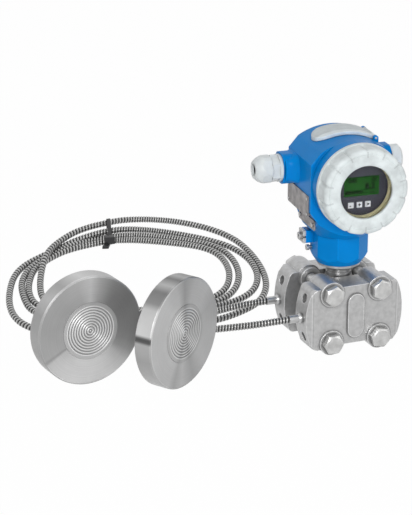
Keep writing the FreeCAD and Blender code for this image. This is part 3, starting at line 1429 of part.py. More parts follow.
def build_housing():
    """Every piece that turns with the housing."""
    first = len(NODES)
    make_housing()
    make_cover_seal("front_cover_seal", front_seal_place())
    make_cover_seal("rear_cover_seal", rear_seal_place())
    make_front_cover()
    make_window()
    make_window_ring()
    make_rear_cover()
    make_display()
    make_screen()
    make_insert()
    make_terminals()
    for step, name in ((-1, "left"), (0, "middle"), (1, "right")):
        make_display_key(f"display_key_{name}", step)
        make_push_key(f"operating_key_{name}", step)
    make_flap()
    make_flap_pin()
    make_gland()
    make_gland_nut()
    make_gland_seal()
    make_plug()
    make_plug_seal()
    side = -s.block_half_width
    land = -s.land_half_width
    make_plate("nameplate", side, s.nameplate_front, s.nameplate_rear, s.nameplate_low,
               s.nameplate_high, rivet_places())
    make_small_fasteners("nameplate_rivets", side, rivet_places(), s.rivet_radius,
                         s.rivet_height)
    make_plate("tag_plate", land, s.tag_front, s.tag_rear, s.tag_low, s.tag_high,
               tag_screw_places())
    make_small_fasteners("tag_screws", land, tag_screw_places(), s.small_screw_radius,
                         s.small_screw_height)
    make_earth_clamp()
    make_screw("earth_screw", s.earth_height, s.earth_lug_reach + s.earth_clamp,
               s.earth_lug_reach - s.small_shank_length, s.earth_screw_radius, s.earth_clamp)
    make_screw("lock_screw", s.lock_height, s.stem_radius, s.stem_radius - s.small_shank_length,
               s.lock_radius, s.lock_reach - s.stem_radius)
    for body in NODES[first:]:
        place(body, angle="sizes.housing_yaw")


def check():
    for item in doc.Objects:
        for word in ("Invalid", "Error"):
            if word in item.State:
                raise RuntimeError(f"{item.Label} is {item.State}")
    for node in NODES:
        if node.Shape.isNull() or not node.Shape.isValid():
            raise RuntimeError(f"{node.Label} has no valid shape")


def write():
    os.makedirs("parts", exist_ok=True)
    for node in NODES:
        node.Shape.exportStep(f"parts/{node.Label}.step")
        print(f"{node.Label}: {len(node.Shape.Solids)} solid(s), {node.Shape.Volume:.0f} mm3")


build()
check()
write()
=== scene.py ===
# %% [markdown]
# # A differential pressure transmitter with two diaphragm seals
#
# The instrument measures the difference between two pressures. Two flat steel seals take up the
# pressures, two armoured capillaries carry them through oil to a measuring cell between two
# bolted flanges, and a painted housing above it shows the reading. The shapes that matter for
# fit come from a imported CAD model. This lesson dresses that model: it builds hoses, bolts, the
# display and the waved diaphragms, and gives every surface a finish made of nodes.

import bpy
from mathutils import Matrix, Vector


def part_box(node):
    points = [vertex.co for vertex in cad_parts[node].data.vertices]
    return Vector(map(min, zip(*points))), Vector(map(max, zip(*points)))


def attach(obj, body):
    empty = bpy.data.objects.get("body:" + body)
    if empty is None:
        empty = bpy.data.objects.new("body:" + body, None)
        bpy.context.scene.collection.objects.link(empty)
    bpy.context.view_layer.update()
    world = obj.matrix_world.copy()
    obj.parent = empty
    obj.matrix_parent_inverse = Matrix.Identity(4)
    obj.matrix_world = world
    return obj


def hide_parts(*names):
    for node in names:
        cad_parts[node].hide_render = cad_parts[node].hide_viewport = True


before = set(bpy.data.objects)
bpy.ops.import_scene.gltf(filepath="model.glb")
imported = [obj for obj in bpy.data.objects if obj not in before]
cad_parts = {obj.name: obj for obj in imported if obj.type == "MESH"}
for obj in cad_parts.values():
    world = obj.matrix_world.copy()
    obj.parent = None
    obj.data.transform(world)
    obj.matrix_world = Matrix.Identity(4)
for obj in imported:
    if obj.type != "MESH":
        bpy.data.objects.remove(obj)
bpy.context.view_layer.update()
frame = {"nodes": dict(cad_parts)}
nodes = frame["nodes"]

# %% [markdown]
# ## Places
#
# Every number below is in millimetres from the foot of the measuring cell's upright axis,
# because that is how the instrument's drawing is made: a flange is 42 mm in front of that axis
# wherever the whole instrument stands. The axis is the middle of the CAD cell's own box, so one
# small function turns drawing numbers into Blender's metres.

# %% A ruler that starts at the measuring cell
import math

import bmesh
import bpy
from mathutils import Vector

MM = 0.001
RIGHT = Vector((1.0, 0.0, 0.0))
BACK = Vector((0.0, 1.0, 0.0))
UP = Vector((0.0, 0.0, 1.0))
cell_low, cell_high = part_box("measuring_cell")
cell_foot = Vector(((cell_low.x + cell_high.x) / 2, (cell_low.y + cell_high.y) / 2, 0.0))


def at(x, y, z):
    """A point of the drawing, in metres."""
    return cell_foot + Vector((x, y, z)) * MM


print("measuring cell's axis at", [round(v, 4) for v in cell_foot])

# %% [markdown]
# The housing can be turned on its neck, and it stands turned by five degrees. A second ruler
# turns with it, so that a key on the display is simply so far right and so far down.

# %% A ruler that turns with the housing
HOUSING_TURN = math.radians(-5.0)
HOUSING_RIGHT = Vector((math.cos(HOUSING_TURN), math.sin(HOUSING_TURN), 0.0))
HOUSING_BACK = Vector((-math.sin(HOUSING_TURN), math.cos(HOUSING_TURN), 0.0))
AXIS_HEIGHT = 179.5


def in_housing(x, y, z):
    """A point beside the housing's upright axis, in metres."""
    c, s = math.cos(HOUSING_TURN), math.sin(HOUSING_TURN)
    return at(x * c - y * s, x * s + y * c, z)


print("display centre at", [round(v, 4) for v in in_housing(0, -58, AXIS_HEIGHT)])

# %% [markdown]
# ## Camera
#
# The instrument is looked at from the left and from above, with a long lens far away, as in a
# catalogue. The camera aims at a point on the line between the coil and the housing.

# %% Camera
AZIMUTH = math.radians(-22.0)
ELEVATION = math.radians(20.0)
DISTANCE = 2.0
target = at(-146.5, 0, 107)
away = Vector((math.sin(AZIMUTH) * math.cos(ELEVATION),
               -math.cos(AZIMUTH) * math.cos(ELEVATION), math.sin(ELEVATION)))
lens = bpy.data.cameras.new("camera")
lens.lens = 140.5
lens.sensor_width = 36.0
lens.clip_end = 50.0
camera = bpy.data.objects.new("camera", lens)
bpy.context.scene.collection.objects.link(camera)
camera.location = target + away * DISTANCE
camera.rotation_euler = away.to_track_quat("Z", "Y").to_euler()
bpy.context.scene.camera = camera
print("camera at", [round(v, 3) for v in camera.location])

# %% [markdown]
# ## Small tools for node trees
#
# A finish is a tree of nodes, and a few short helpers keep such trees readable. The first ones
# turn a colour as it is seen on a screen into the light values that shaders work with, add a
# node with its settings, and do sums, choices and ramps with the numbers that flow in a tree.

# %% Helpers for shader trees
def screen(r, g, b):
    """A colour given as on a screen, from 0 to 255, as linear light."""
    def channel(v):
        v /= 255.0
        return v / 12.92 if v <= 0.04045 else ((v + 0.055) / 1.055) ** 2.4
    return (channel(r), channel(g), channel(b), 1.0)


def add(tree, kind, place=(0, 0), **settings):
    """A new node. A setting names one of the node's own properties, or else an input."""
    node = tree.nodes.new(kind)
    node.location = place
    for name, value in settings.items():
        if hasattr(node, name):
            setattr(node, name, value)
        else:
            node.inputs[name.replace("_", " ")].default_value = value
    return node


print("blue paint as linear light:", [round(v, 3) for v in screen(0, 120, 200)])

# %% Numbers in a tree
def feed(tree, socket, value):
    """Set a socket to a number, or link it to the socket that gives the number."""
    if isinstance(value, (int, float)):
        socket.default_value = value
    elif value is not None:
        tree.links.new(value, socket)


def calc(tree, operation, place, a, b=None, c=None):
    """A math node fed by numbers or sockets."""
    node = add(tree, "ShaderNodeMath", place, operation=operation)
    for socket, value in zip(node.inputs, (a, b, c)):
        feed(tree, socket, value)
    return node.outputs[0]


def choose(tree, place, share, low, high):
    """A number that goes from low to high as the share goes from 0 to 1."""
    node = add(tree, "ShaderNodeMix", place, data_type="FLOAT")
    for index, value in ((0, share), (2, low), (3, high)):
        feed(tree, node.inputs[index], value)
    return node.outputs[0]


def stretch(tree, place, value, old, new):
    """Carry a number from one range over to another, and stop at the ends."""
    node = add(tree, "ShaderNodeMapRange", place, From_Min=old[0], From_Max=old[1],
               To_Min=new[0], To_Max=new[1])
    feed(tree, node.inputs["Value"], value)
    return node.outputs["Result"]


print("calc() does sums, choose() picks, stretch() rescales")

# %% Ramps
def ramp(tree, place, stops):
    """A colour ramp through (position, colour) stops."""
    node = add(tree, "ShaderNodeValToRGB", place)
    items = node.color_ramp.elements
    while len(items) > 1:
        items.remove(items[-1])
    items[0].position, items[0].color = stops[0]
    for position, colour in stops[1:]:
        items.new(position).color = colour
    return node


def grey_ramp(tree, source, stops):
    """A number that follows (position, screen grey) stops, as a share of screen grey 200."""
    full = screen(200, 200, 200)[0]
    shares = [(position, screen(grey, grey, grey)[0] / full) for position, grey in stops]
    node = ramp(tree, (-400, 700), [(position, (share, share, share, 1.0))
                                    for position, share in shares])
    tree.links.new(source, node.inputs["Fac"])
    return node.outputs["Color"]


print("ramp() gives colours, grey_ramp() gives numbers")

# %% [markdown]
# Some finishes depend on where a point of the surface lies: how far along a direction, or at
# what angle and distance round an axis. Three more helpers work that out from the Object
# coordinates, and the last one multiplies a colour by the number that comes out.

# %% Helpers for places on a surface
def along(tree, place, direction, start):
    """How far the surface lies from start in a direction, in metres."""
    x, y = place
    surface = add(tree, "ShaderNodeTexCoord", (x, y))
    away = add(tree, "ShaderNodeVectorMath", (x + 200, y), operation="SUBTRACT")
    away.inputs[1].default_value = start
    part = add(tree, "ShaderNodeVectorMath", (x + 400, y), operation="DOT_PRODUCT")
    part.inputs[1].default_value = direction
    tree.links.new(surface.outputs["Object"], away.inputs[0])
    tree.links.new(away.outputs[0], part.inputs[0])
    return part.outputs["Value"]


def diagonal(tree, place, a, b):
    """The length of the diagonal over the sides a and b."""
    x, y = place
    squares = [calc(tree, "MULTIPLY", (x, y - 100 * i), side, side)
               for i, side in enumerate((a, b))]
    return calc(tree, "SQRT", (x + 200, y), calc(tree, "ADD", (x + 100, y), *squares))


def polar(tree, centre, across):
    """Angle in turns, from the direction across towards up, and distance from the centre."""
    side = along(tree, (-2000, 700), across, centre)
    up = along(tree, (-2000, 500), UP, centre)
    angle = calc(tree, "ARCTAN2", (-1400, 700), up, side)
    turns = calc(tree, "FRACT", (-1200, 700), calc(tree, "DIVIDE", (-1300, 700), angle, math.tau))
    return turns, diagonal(tree, (-1400, 500), side, up)


def shade(material, number):
    """Multiply a finish's colour by what number(tree) works out."""
    tree = material.node_tree
    colour = tree.nodes["Principled BSDF"].inputs["Base Color"]
    scaled = add(tree, "ShaderNodeVectorMath", (-160, 300), operation="SCALE")
    tree.links.new(colour.links[0].from_socket, scaled.inputs[0])
    tree.links.new(number(tree), scaled.inputs["Scale"])
    tree.links.new(scaled.outputs[0], colour)


print("along(), diagonal() and polar() measure, shade() uses what they find")

# %% [markdown]
# ## One recipe for most finishes
#
# Paint, plastic and steel look different, yet they are described by the same few things: a
# colour that is never quite even, a roughness that varies a little, a fine grain that bends the
# light, and edges that are slightly round. The recipe below asks for those. Noise in object
# coordinates gives the unevenness, and the Bevel node rounds the edges as the light sees them,
# which costs no geometry and works on any CAD part. Inner corners get a painted shade in the
# colour, and edges get a painted highlight.

# %% Painted shade in corners and painted highlights on edges
CORNER_REACH = 5 * MM


def painted_corners_and_edges(tree, soft, corner_shade, edge_highlight):
    """Painted shade below 1 in inner corners, painted highlight above 1 where the soft normal
    leaves the true one.
    """
    # Painted shade: darker where ambient occlusion finds an inner corner.
    hollow = add(tree, "ShaderNodeAmbientOcclusion", (-1000, 520), samples=8,
                 Distance=CORNER_REACH)
    shade_in_corners = stretch(tree, (-760, 520), hollow.outputs["AO"], (0.3, 0.95), (1.0 - corner_shade, 1.0))
    # Painted highlight: brighter where the soft normal turns away from the true one.
    flat = add(tree, "ShaderNodeNewGeometry", (-1000, 900))
    turn = add(tree, "ShaderNodeVectorMath", (-760, 900), operation="DOT_PRODUCT")
    tree.links.new(soft.outputs["Normal"], turn.inputs[0])
    tree.links.new(flat.outputs["Normal"], turn.inputs[1])
    highlight_on_edges = stretch(tree, (-560, 900), turn.outputs["Value"], (0.88, 0.99), (1.0 + edge_highlight, 1.0))
    return calc(tree, "MULTIPLY", (-360, 700), shade_in_corners, highlight_on_edges)


print("inner corners reach", CORNER_REACH, "m")

# %% The general finish
ROUGH_SPREAD = 0.08
GRAIN_DEPTH = 0.2 * MM


def finish(name, colour, rough, metal=0.0, uneven=0.06, patch=60.0, grain=900.0, bump=0.15,
           edge=0.6, specular=0.5, corner_shade=0.35, edge_highlight=0.0):
    """A material: patch and grain are noise scales per metre, edge is a radius in mm.

    corner_shade is how much painted shade darkens inner corners, edge_highlight how much painted
    highlight brightens edges."""
    material = bpy.data.materials.new(name)
    material.use_nodes = True
    tree = material.node_tree
    shader = tree.nodes["Principled BSDF"]
    shader.inputs["Metallic"].default_value = metal
    shader.inputs["Specular IOR Level"].default_value = specular
    place = add(tree, "ShaderNodeTexCoord", (-1200, 0))
    blotch = add(tree, "ShaderNodeTexNoise", (-1000, 200), Scale=patch, Detail=4.0)
    dark = tuple(c * (1 - uneven * 2) for c in colour[:3]) + (1.0,)
    light = tuple(min(1.0, c * (1 + uneven)) for c in colour[:3]) + (1.0,)
    colours = ramp(tree, (-760, 240), [(0.32, dark), (0.68, light)])
    fine = add(tree, "ShaderNodeTexNoise", (-1000, -200), Scale=grain, Detail=3.0)
    dull = stretch(tree, (-760, -60), fine.outputs["Fac"], (0.0, 1.0),
                   (rough - ROUGH_SPREAD, min(1.0, rough + ROUGH_SPREAD)))
    bend = add(tree, "ShaderNodeBump", (-400, -240), Strength=bump, Distance=GRAIN_DEPTH)
    soft = add(tree, "ShaderNodeBevel", (-600, -360), samples=6, Radius=edge * MM)
    link = tree.links.new
    link(place.outputs["Object"], blotch.inputs["Vector"])
    link(place.outputs["Object"], fine.inputs["Vector"])
    link(blotch.outputs["Fac"], colours.inputs["Fac"])
    link(colours.outputs["Color"], shader.inputs["Base Color"])
    link(dull, shader.inputs["Roughness"])
    link(fine.outputs["Fac"], bend.inputs["Height"])
    link(soft.outputs["Normal"], bend.inputs["Normal"])
    link(bend.outputs["Normal"], shader.inputs["Normal"])
    # The colour carries painted shade in corners and painted highlights on edges.
    shade(material, lambda tree: painted_corners_and_edges(tree, soft, corner_shade, edge_highlight))
    return material


def wear(material, *names):
    """Give a finish to CAD nodes, which keep their own shape."""
    for name in names:
        slots = nodes[name].data.materials
        if not len(slots):
            slots.append(material)
        for i in range(len(slots)):
            slots[i] = material


print("finish() makes a material, wear() puts it on CAD nodes")

# %% [markdown]
# ## Finishes of the castings
#
# The flanges are shot-blasted stainless castings: light grey, softly uneven, with a coarse
# grain and edges rounded by the mould. The housing is aluminium with a thick blue enamel, and
# its rear cover has the same enamel in a pale grey.

# %% Castings and enamel
cast_steel = finish("cast_steel", screen(186, 186, 186), 0.38, metal=0.7, uneven=0.06,
                    patch=220.0, grain=750.0, bump=0.9, edge=1.2, corner_shade=0.8, edge_highlight=0.7)
blue_enamel = finish("blue_enamel", screen(0, 142, 226), 0.32, uneven=0.04, patch=30.0,
                     grain=1100.0, bump=0.10, edge=2.2, specular=0.08, corner_shade=0.55, edge_highlight=0.35)
pale_enamel = finish("pale_enamel", screen(228, 236, 237), 0.40, uneven=0.06, patch=70.0,
                     grain=1100.0, bump=0.10, edge=1.0, corner_shade=0.45, edge_highlight=0.1)
wear(cast_steel, "front_flange", "rear_flange", "measuring_cell")
wear(blue_enamel, "housing_shell")
wear(pale_enamel, "rear_cover")
print("castings and enamel done")

# %% [markdown]
# A mould leaves soft fillets round whatever stands proud of a flange: the oval rib, the bosses
# of the four bolts and the bend towards each end. A fillet shows as a bright line beside a dark
# one. These lines are painted highlight and painted shade, worked out by distance, since such
# small rounds would cost many faces.

# %% Painted lines of light and shade on the cast flanges
FLANGE_HEIGHT = 39.0
BOLT_ACROSS = 26.5
BOLT_UP = 26.0
BOSS_RADIUS = 13.0
RIB_RADIUS = 9.0
RIB_HALF_LINE = 14.5
LINE_WIDTH = 6.0
END_SCALE = 60.0
OUTER_FACE = 40.5


def fillet_light_lines(tree):
    """A painted shade line and highlight line round the oval rib and bolt bosses, and down each
    end.
    """
    middle = at(0, 0, FLANGE_HEIGHT)
    x, y, z = [calc(tree, "ABSOLUTE", (-1800, row), along(tree, (-2400, row), way, middle))
               for row, way in ((900, RIGHT), (700, BACK), (500, UP))]

    def beyond(number, length):
        """How much the number is over a length in mm."""
        return calc(tree, "SUBTRACT", (-1600, 900), number, length * MM)

    above_rib = calc(tree, "MAXIMUM", (-1500, 800), beyond(z, RIB_HALF_LINE), 0.0)
    rib = diagonal(tree, (-1400, 900), x, above_rib)
    boss = diagonal(tree, (-1400, 700), beyond(x, BOLT_ACROSS), beyond(z, BOLT_UP))
    nearest = calc(tree, "MINIMUM", (-1000, 900), beyond(rib, RIB_RADIUS),
                   beyond(boss, BOSS_RADIUS))
    line = calc(tree, "MULTIPLY_ADD", (-900, 900), nearest, 1 / (LINE_WIDTH * MM), 0.5)
    # Painted highlight and painted shade beside each fillet.
    round_fillet_light = grey_ramp(tree, line, [(0.30, 200), (0.44, 222), (0.50, 205), (0.56, 150),
                                         (0.66, 182), (0.80, 200)])
    end = calc(tree, "DIVIDE", (-900, 700), x, END_SCALE * MM)
    end_fillet_light = grey_ramp(tree, end, [(0.76, 200), (0.775, 176), (0.79, 222), (0.82, 200),
                                      (0.9, 188)])
    fillet_light = calc(tree, "MULTIPLY", (-700, 800), round_fillet_light, end_fillet_light)
    on_face = calc(tree, "GREATER_THAN", (-900, 600), y, OUTER_FACE * MM)
    return choose(tree, (-500, 800), on_face, 1.0, fillet_light)


shade(cast_steel, fillet_light_lines)
print("mould lines done")

# %% Turned steel, bolts and plates
turned_steel = finish("turned_steel", screen(190, 190, 190), 0.32, metal=0.8, uneven=0.08,
                      patch=60.0, grain=1800.0, bump=0.12, edge=0.5, corner_shade=0.6, edge_highlight=0.3)
bolt_steel = finish("bolt_steel", screen(202, 202, 201), 0.36, metal=0.7, uneven=0.10,
                    patch=120.0, grain=1400.0, bump=0.2, edge=0.6, corner_shade=0.6, edge_highlight=0.6)
plate_steel = finish("plate_steel", screen(170, 165, 164), 0.42, metal=0.3, uneven=0.2,
                     patch=120.0, grain=1500.0, bump=0.12, edge=0.3)
wear(turned_steel, "neck_adapter", "seal_outlet_left", "seal_outlet_right",
     "capillary_adapter_front", "capillary_adapter_rear")
wear(bolt_steel, "nameplate_rivets", "tag_screws", "earth_clamp", "earth_screw", "lock_screw",
     "flap_pin")
wear(plate_steel, "nameplate", "tag_plate")
print("steel parts done")

# %% Plastics and rubber
white_plastic = finish("white_plastic", screen(244, 250, 252), 0.36, uneven=0.05, patch=90.0,
                       grain=1500.0, bump=0.06, edge=0.7, corner_shade=0.5)
dark_plastic = finish("dark_plastic", screen(46, 45, 60), 0.45, uneven=0.04, patch=80.0,
                      grain=2500.0, bump=0.08, edge=0.3)
black_plastic = finish("black_plastic", screen(34, 34, 36), 0.42, uneven=0.05, patch=80.0,
                       grain=2000.0, bump=0.12, edge=0.3)
black_rubber = finish("black_rubber", screen(28, 28, 28), 0.65, uneven=0.05, patch=120.0,
                      grain=2500.0, bump=0.2, edge=0.2)
key_plastic = finish("key_plastic", screen(225, 225, 232), 0.45, uneven=0.02, patch=200.0,
                     grain=3000.0, bump=0.05, edge=0.3)
wear(white_plastic, "gland_body", "gland_nut", "blanking_plug")
wear(dark_plastic, "display_module", "electronics_insert", "terminal_block")
wear(black_plastic, "operating_key_left", "operating_key_middle", "operating_key_right")
wear(black_rubber, "front_cell_seal", "rear_cell_seal", "front_cover_seal", "rear_cover_seal",
     "gland_seal", "plug_seal")
wear(key_plastic, "display_key_left", "display_key_middle", "display_key_right")
print("plastics and rubber done")

# %% The flap's painted highlight and shade
flap_plastic = finish("flap_plastic", screen(232, 241, 244), 0.42, uneven=0.05, patch=120.0,
                      grain=1500.0, bump=0.06, edge=0.9, corner_shade=0.5, edge_highlight=0.15)
LIP_END = -4.5
ZONE_CHANGE = 3.0


def flap_light_and_shade(tree):
    """A painted highlight on the lip towards the display, painted shade on the broad back of the
    flap.
    """
    behind_lip = along(tree, (-1400, 900), HOUSING_BACK, in_housing(0, LIP_END, 0))
    # Painted highlight on the lip, painted shade behind it.
    return stretch(tree, (-800, 900), behind_lip, (0.0, ZONE_CHANGE * MM), (1.15, 0.86))


shade(flap_plastic, flap_light_and_shade)
wear(flap_plastic, "operating_flap")
print("flap done")

# %% Brass, glass and screen
brass = finish("brass", screen(232, 220, 176), 0.40, metal=0.1, uneven=0.05, patch=80.0,
               grain=2000.0, bump=0.1, edge=0.3)
wear(brass, "window_ring")
lcd = finish("lcd", screen(24, 78, 22), 0.5, specular=0.1, uneven=0.08, patch=120.0, grain=2500.0,
             bump=0.03, edge=0.2)
wear(lcd, "display_screen")
glass = bpy.data.materials.new("window_glass")
glass.use_nodes = True
pane = glass.node_tree.nodes["Principled BSDF"]
pane.inputs["Base Color"].default_value = (0.97, 0.99, 0.98, 1.0)
pane.inputs["Roughness"].default_value = 0.03
pane.inputs["Transmission Weight"].default_value = 1.0
pane.inputs["IOR"].default_value = 1.12
wear(glass, "cover_window")
print("window done")

# %% [markdown]
# ## The armoured capillaries
#
# Each capillary is a thin oil-filled tube inside a flexible steel hose, whose wall is a wound
# metal strip that shows as a row of round ribs. The line of a hose is a smooth NURBS curve that
# follows a few chosen points: straight out of its fitting, down to the floor, nearly twice round
# the coil and up into the back of a seal.

# %% A smooth line along chosen points
def hose_line(name, points):
    """A curve object that follows the points."""
    curve = bpy.data.curves.new(name, "CURVE")
    curve.dimensions = "3D"
    curve.resolution_u = 14
    spline = curve.splines.new("NURBS")
    spline.points.add(len(points) - 1)
    for point, place in zip(spline.points, points):
        point.co = (*place, 1.0)
    spline.order_u = 3
    spline.use_endpoint_u = True
    return bpy.data.objects.new(name, curve)


front_route = [
    at(-68, -28, 39), at(-84, -28, 39), at(-103, -23, 36.5), at(-131, -2, 29), at(-163, 26, 19),
    at(-196, 54, 12), at(-225, 84, 12), at(-248, 122, 12), at(-266, 150, 7),
    at(-276, 178, 4), at(-273, 212, 4), at(-264, 254, 4), at(-248, 290, 4), at(-226, 318, 4),
    at(-190, 348, 4), at(-166, 361, 4), at(-145, 367, 4), at(-122, 371, 4), at(-97, 369, 4),
    at(-73, 356, 4), at(-40, 327, 4), at(-20, 302, 4), at(-12, 273, 4), at(-16, 233, 4),
    at(-28, 193, 4), at(-47, 158, 4), at(-70, 134, 4), at(-100, 120, 4), at(-150, 104, 4),
    at(-205, 94, 4), at(-250, 99, 4), at(-280, 113, 4), at(-295, 140, 4), at(-298, 170, 4),
    at(-292, 206, 4), at(-280, 244, 4), at(-262, 287, 4), at(-239, 318, 4), at(-206, 342, 4),
    at(-183, 355, 5), at(-164, 365, 7), at(-145, 369, 9.5), at(-122, 373, 11), at(-97, 377, 9),
    at(-68, 370, 6), at(-38, 347, 4), at(-14, 315, 4), at(0, 285, 4), at(4, 247, 4),
    at(-2, 207, 4), at(-15, 171, 4), at(-34, 142, 4), at(-58, 124, 4), at(-90, 113, 5),
    at(-125, 106, 9), at(-160, 104, 14), at(-196, 106, 20), at(-232, 110, 27),
    at(-261, 97, 38), at(-274, 72, 50), at(-263.2, 35.5, 56), at(-259.7, 11.8, 56),
]
print(len(front_route), "points on the front capillary's route")

# %% The rear capillary's route
rear_route = [
    at(-68, 28, 39), at(-84, 28, 39), at(-103, 30.5, 37), at(-127, 39, 30), at(-156, 57, 20),
    at(-186, 78, 13), at(-213, 104, 12), at(-236, 134, 9), at(-256, 164, 6),
    at(-267, 194, 4), at(-263, 228, 4), at(-253, 260, 4), at(-236, 297, 4), at(-214, 321, 4),
    at(-190, 340, 4), at(-169, 349, 4), at(-149, 354, 4), at(-122, 358, 4), at(-100, 351, 4),
    at(-78, 338, 4), at(-45, 312, 4), at(-29, 292, 4), at(-23, 267, 4), at(-27, 232, 4),
    at(-38, 197, 4), at(-56, 163, 4), at(-80, 140, 4), at(-115, 128, 4), at(-160, 122, 4),
    at(-200, 126, 4), at(-233, 146, 4), at(-251, 175, 4), at(-254, 209, 4), at(-244, 248, 4),
    at(-230, 286, 6), at(-218, 311, 11), at(-206, 331, 12.5), at(-189, 352, 12.5),
    at(-163, 376, 13), at(-139, 384, 15), at(-118, 388, 15.5), at(-98, 398, 13),
    at(-79, 407, 9), at(-54, 404, 7), at(-24, 388, 5), at(2, 354, 4), at(15, 309, 4),
    at(13, 254, 4), at(3, 198, 4), at(-12, 153, 4), at(-33, 118, 4), at(-58, 97, 4),
    at(-98, 79, 4), at(-130, 76, 6), at(-162, 84, 12), at(-190, 87, 21), at(-215, 68, 36),
    at(-223.5, 40, 51), at(-205.3, -5.3, 56), at(-192.2, -25.4, 56),
]
print(len(rear_route), "points on the rear capillary's route")

# %% [markdown]
# A hose has the same round section all along its line, with one rib like the next, so Geometry
# Nodes suit it well. The tree reads the line, cuts it into short equal steps, sweeps a circle
# along it and then moves every point inwards by a wave that runs along the hose and round it
# at once, which is how a wound strip looks. A hose that runs towards the back of the coil is
# seen almost end on, and its ribs would close up to a plain grey, so the ribs open up there.
# The same wave is stored as an attribute, so that the finish can paint shade into the grooves.

# %% Helpers for geometry trees
def new_tree(name, inputs):
    """A geometry tree with named inputs, given as (name, socket type, default)."""
    tree = bpy.data.node_groups.new(name, "GeometryNodeTree")
    tree.interface.new_socket("Geometry", in_out="INPUT", socket_type="NodeSocketGeometry")
    for label, kind, default in inputs:
        socket = tree.interface.new_socket(label, in_out="INPUT", socket_type=kind)
        if default is not None:
            socket.default_value = default
    tree.interface.new_socket("Geometry", in_out="OUTPUT", socket_type="NodeSocketGeometry")
    return tree, add(tree, "NodeGroupInput", (-1400, 0)), add(tree, "NodeGroupOutput", (1600, 0))


def chain(tree, *nodes):
    """Pass the geometry on from each node to the next."""
    for first, second in zip(nodes, nodes[1:]):
        tree.links.new(first.outputs[0], second.inputs[0])


def run_tree(name, tree, values, start=None):
    """Run a tree on an empty or given mesh and keep the result as a plain mesh object."""
    piece = bpy.data.objects.new(name, start or bpy.data.meshes.new(name))
    bpy.context.scene.collection.objects.link(piece)
    modifier = piece.modifiers.new("nodes", "NODES")
    modifier.node_group = tree
    sockets = {item.name: item.identifier for item in tree.interface.items_tree
               if item.in_out == "INPUT"}
    for label, value in values.items():
        modifier[sockets[label]] = value
    piece.update_tag()
    bpy.context.view_layer.update()
    made = piece.evaluated_get(bpy.context.evaluated_depsgraph_get())
    mesh = bpy.data.meshes.new_from_object(made)
    piece.modifiers.remove(modifier)
    piece.data = mesh
    mesh.name = name
    return piece


print("tree helpers ready")

# %% The hose tree and the pitch of its ribs
hose_tree, given, result = new_tree("ribbed hose", [
    ("Line", "NodeSocketObject", None), ("Diameter", "NodeSocketFloat", 0.0076),
    ("Rib pitch", "NodeSocketFloat", 0.0029), ("Open pitch", "NodeSocketFloat", 0.0068),
    ("Open direction", "NodeSocketVector", (0.375, 0.927, 0.0)),
    ("Rib depth", "NodeSocketFloat", 0.0012),
    ("Step", "NodeSocketFloat", 0.0006), ("Sides", "NodeSocketInt", 14),
    ("Finish", "NodeSocketMaterial", None)])
link = hose_tree.links.new
OPEN_POWER = 2.0
heading = add(hose_tree, "GeometryNodeInputTangent", (-1800, -60))
lean = add(hose_tree, "ShaderNodeVectorMath", (-1640, -60), operation="DOT_PRODUCT")
link(heading.outputs["Tangent"], lean.inputs[0])
link(given.outputs["Open direction"], lean.inputs[1])
opening = calc(hose_tree, "POWER", (-1480, -60),
               calc(hose_tree, "ABSOLUTE", (-1560, -60), lean.outputs["Value"]), OPEN_POWER)
extra = calc(hose_tree, "MULTIPLY", (-1400, -60), opening,
             calc(hose_tree, "SUBTRACT", (-1480, -200), given.outputs["Open pitch"],
                  given.outputs["Rib pitch"]))
pitch_here = calc(hose_tree, "ADD", (-1320, -60), extra, given.outputs["Rib pitch"])
tally = add(hose_tree, "GeometryNodeAccumulateField", (-1000, -60), data_type="FLOAT",
            domain="POINT")
link(calc(hose_tree, "DIVIDE", (-1240, -60), given.outputs["Step"], pitch_here),
     tally.inputs["Value"])
print("each step adds its share of a rib to the tally")

# %% Even steps and a circle swept along them
line = add(hose_tree, "GeometryNodeObjectInfo", (-1200, 200))
even = add(hose_tree, "GeometryNodeResampleCurve", (-1000, 200), mode="LENGTH")
keep = add(hose_tree, "GeometryNodeCaptureAttribute", (-800, 200))
keep.capture_items.new("FLOAT", "Along")
ring = add(hose_tree, "GeometryNodeCurvePrimitiveCircle", (-1000, -300))
around = add(hose_tree, "GeometryNodeSplineParameter", (-1000, -460))
keep_ring = add(hose_tree, "GeometryNodeCaptureAttribute", (-800, -300))
keep_ring.capture_items.new("FLOAT", "Around")
sweep = add(hose_tree, "GeometryNodeCurveToMesh", (-560, 100))
link(given.outputs["Line"], line.inputs["Object"])
link(line.outputs["Geometry"], even.inputs["Curve"])
link(given.outputs["Step"], even.inputs["Length"])
link(even.outputs["Curve"], keep.inputs["Geometry"])
link(tally.outputs["Leading"], keep.inputs["Along"])
link(given.outputs["Sides"], ring.inputs["Resolution"])
link(calc(hose_tree, "DIVIDE", (-1200, -300), given.outputs["Diameter"], 2.0),
     ring.inputs["Radius"])
link(ring.outputs["Curve"], keep_ring.inputs["Geometry"])
link(around.outputs["Factor"], keep_ring.inputs["Around"])
link(keep.outputs["Geometry"], sweep.inputs["Curve"])
link(keep_ring.outputs["Geometry"], sweep.inputs["Profile Curve"])
sweep.inputs["Fill Caps"].default_value = True
print("line, steps and sweep joined")

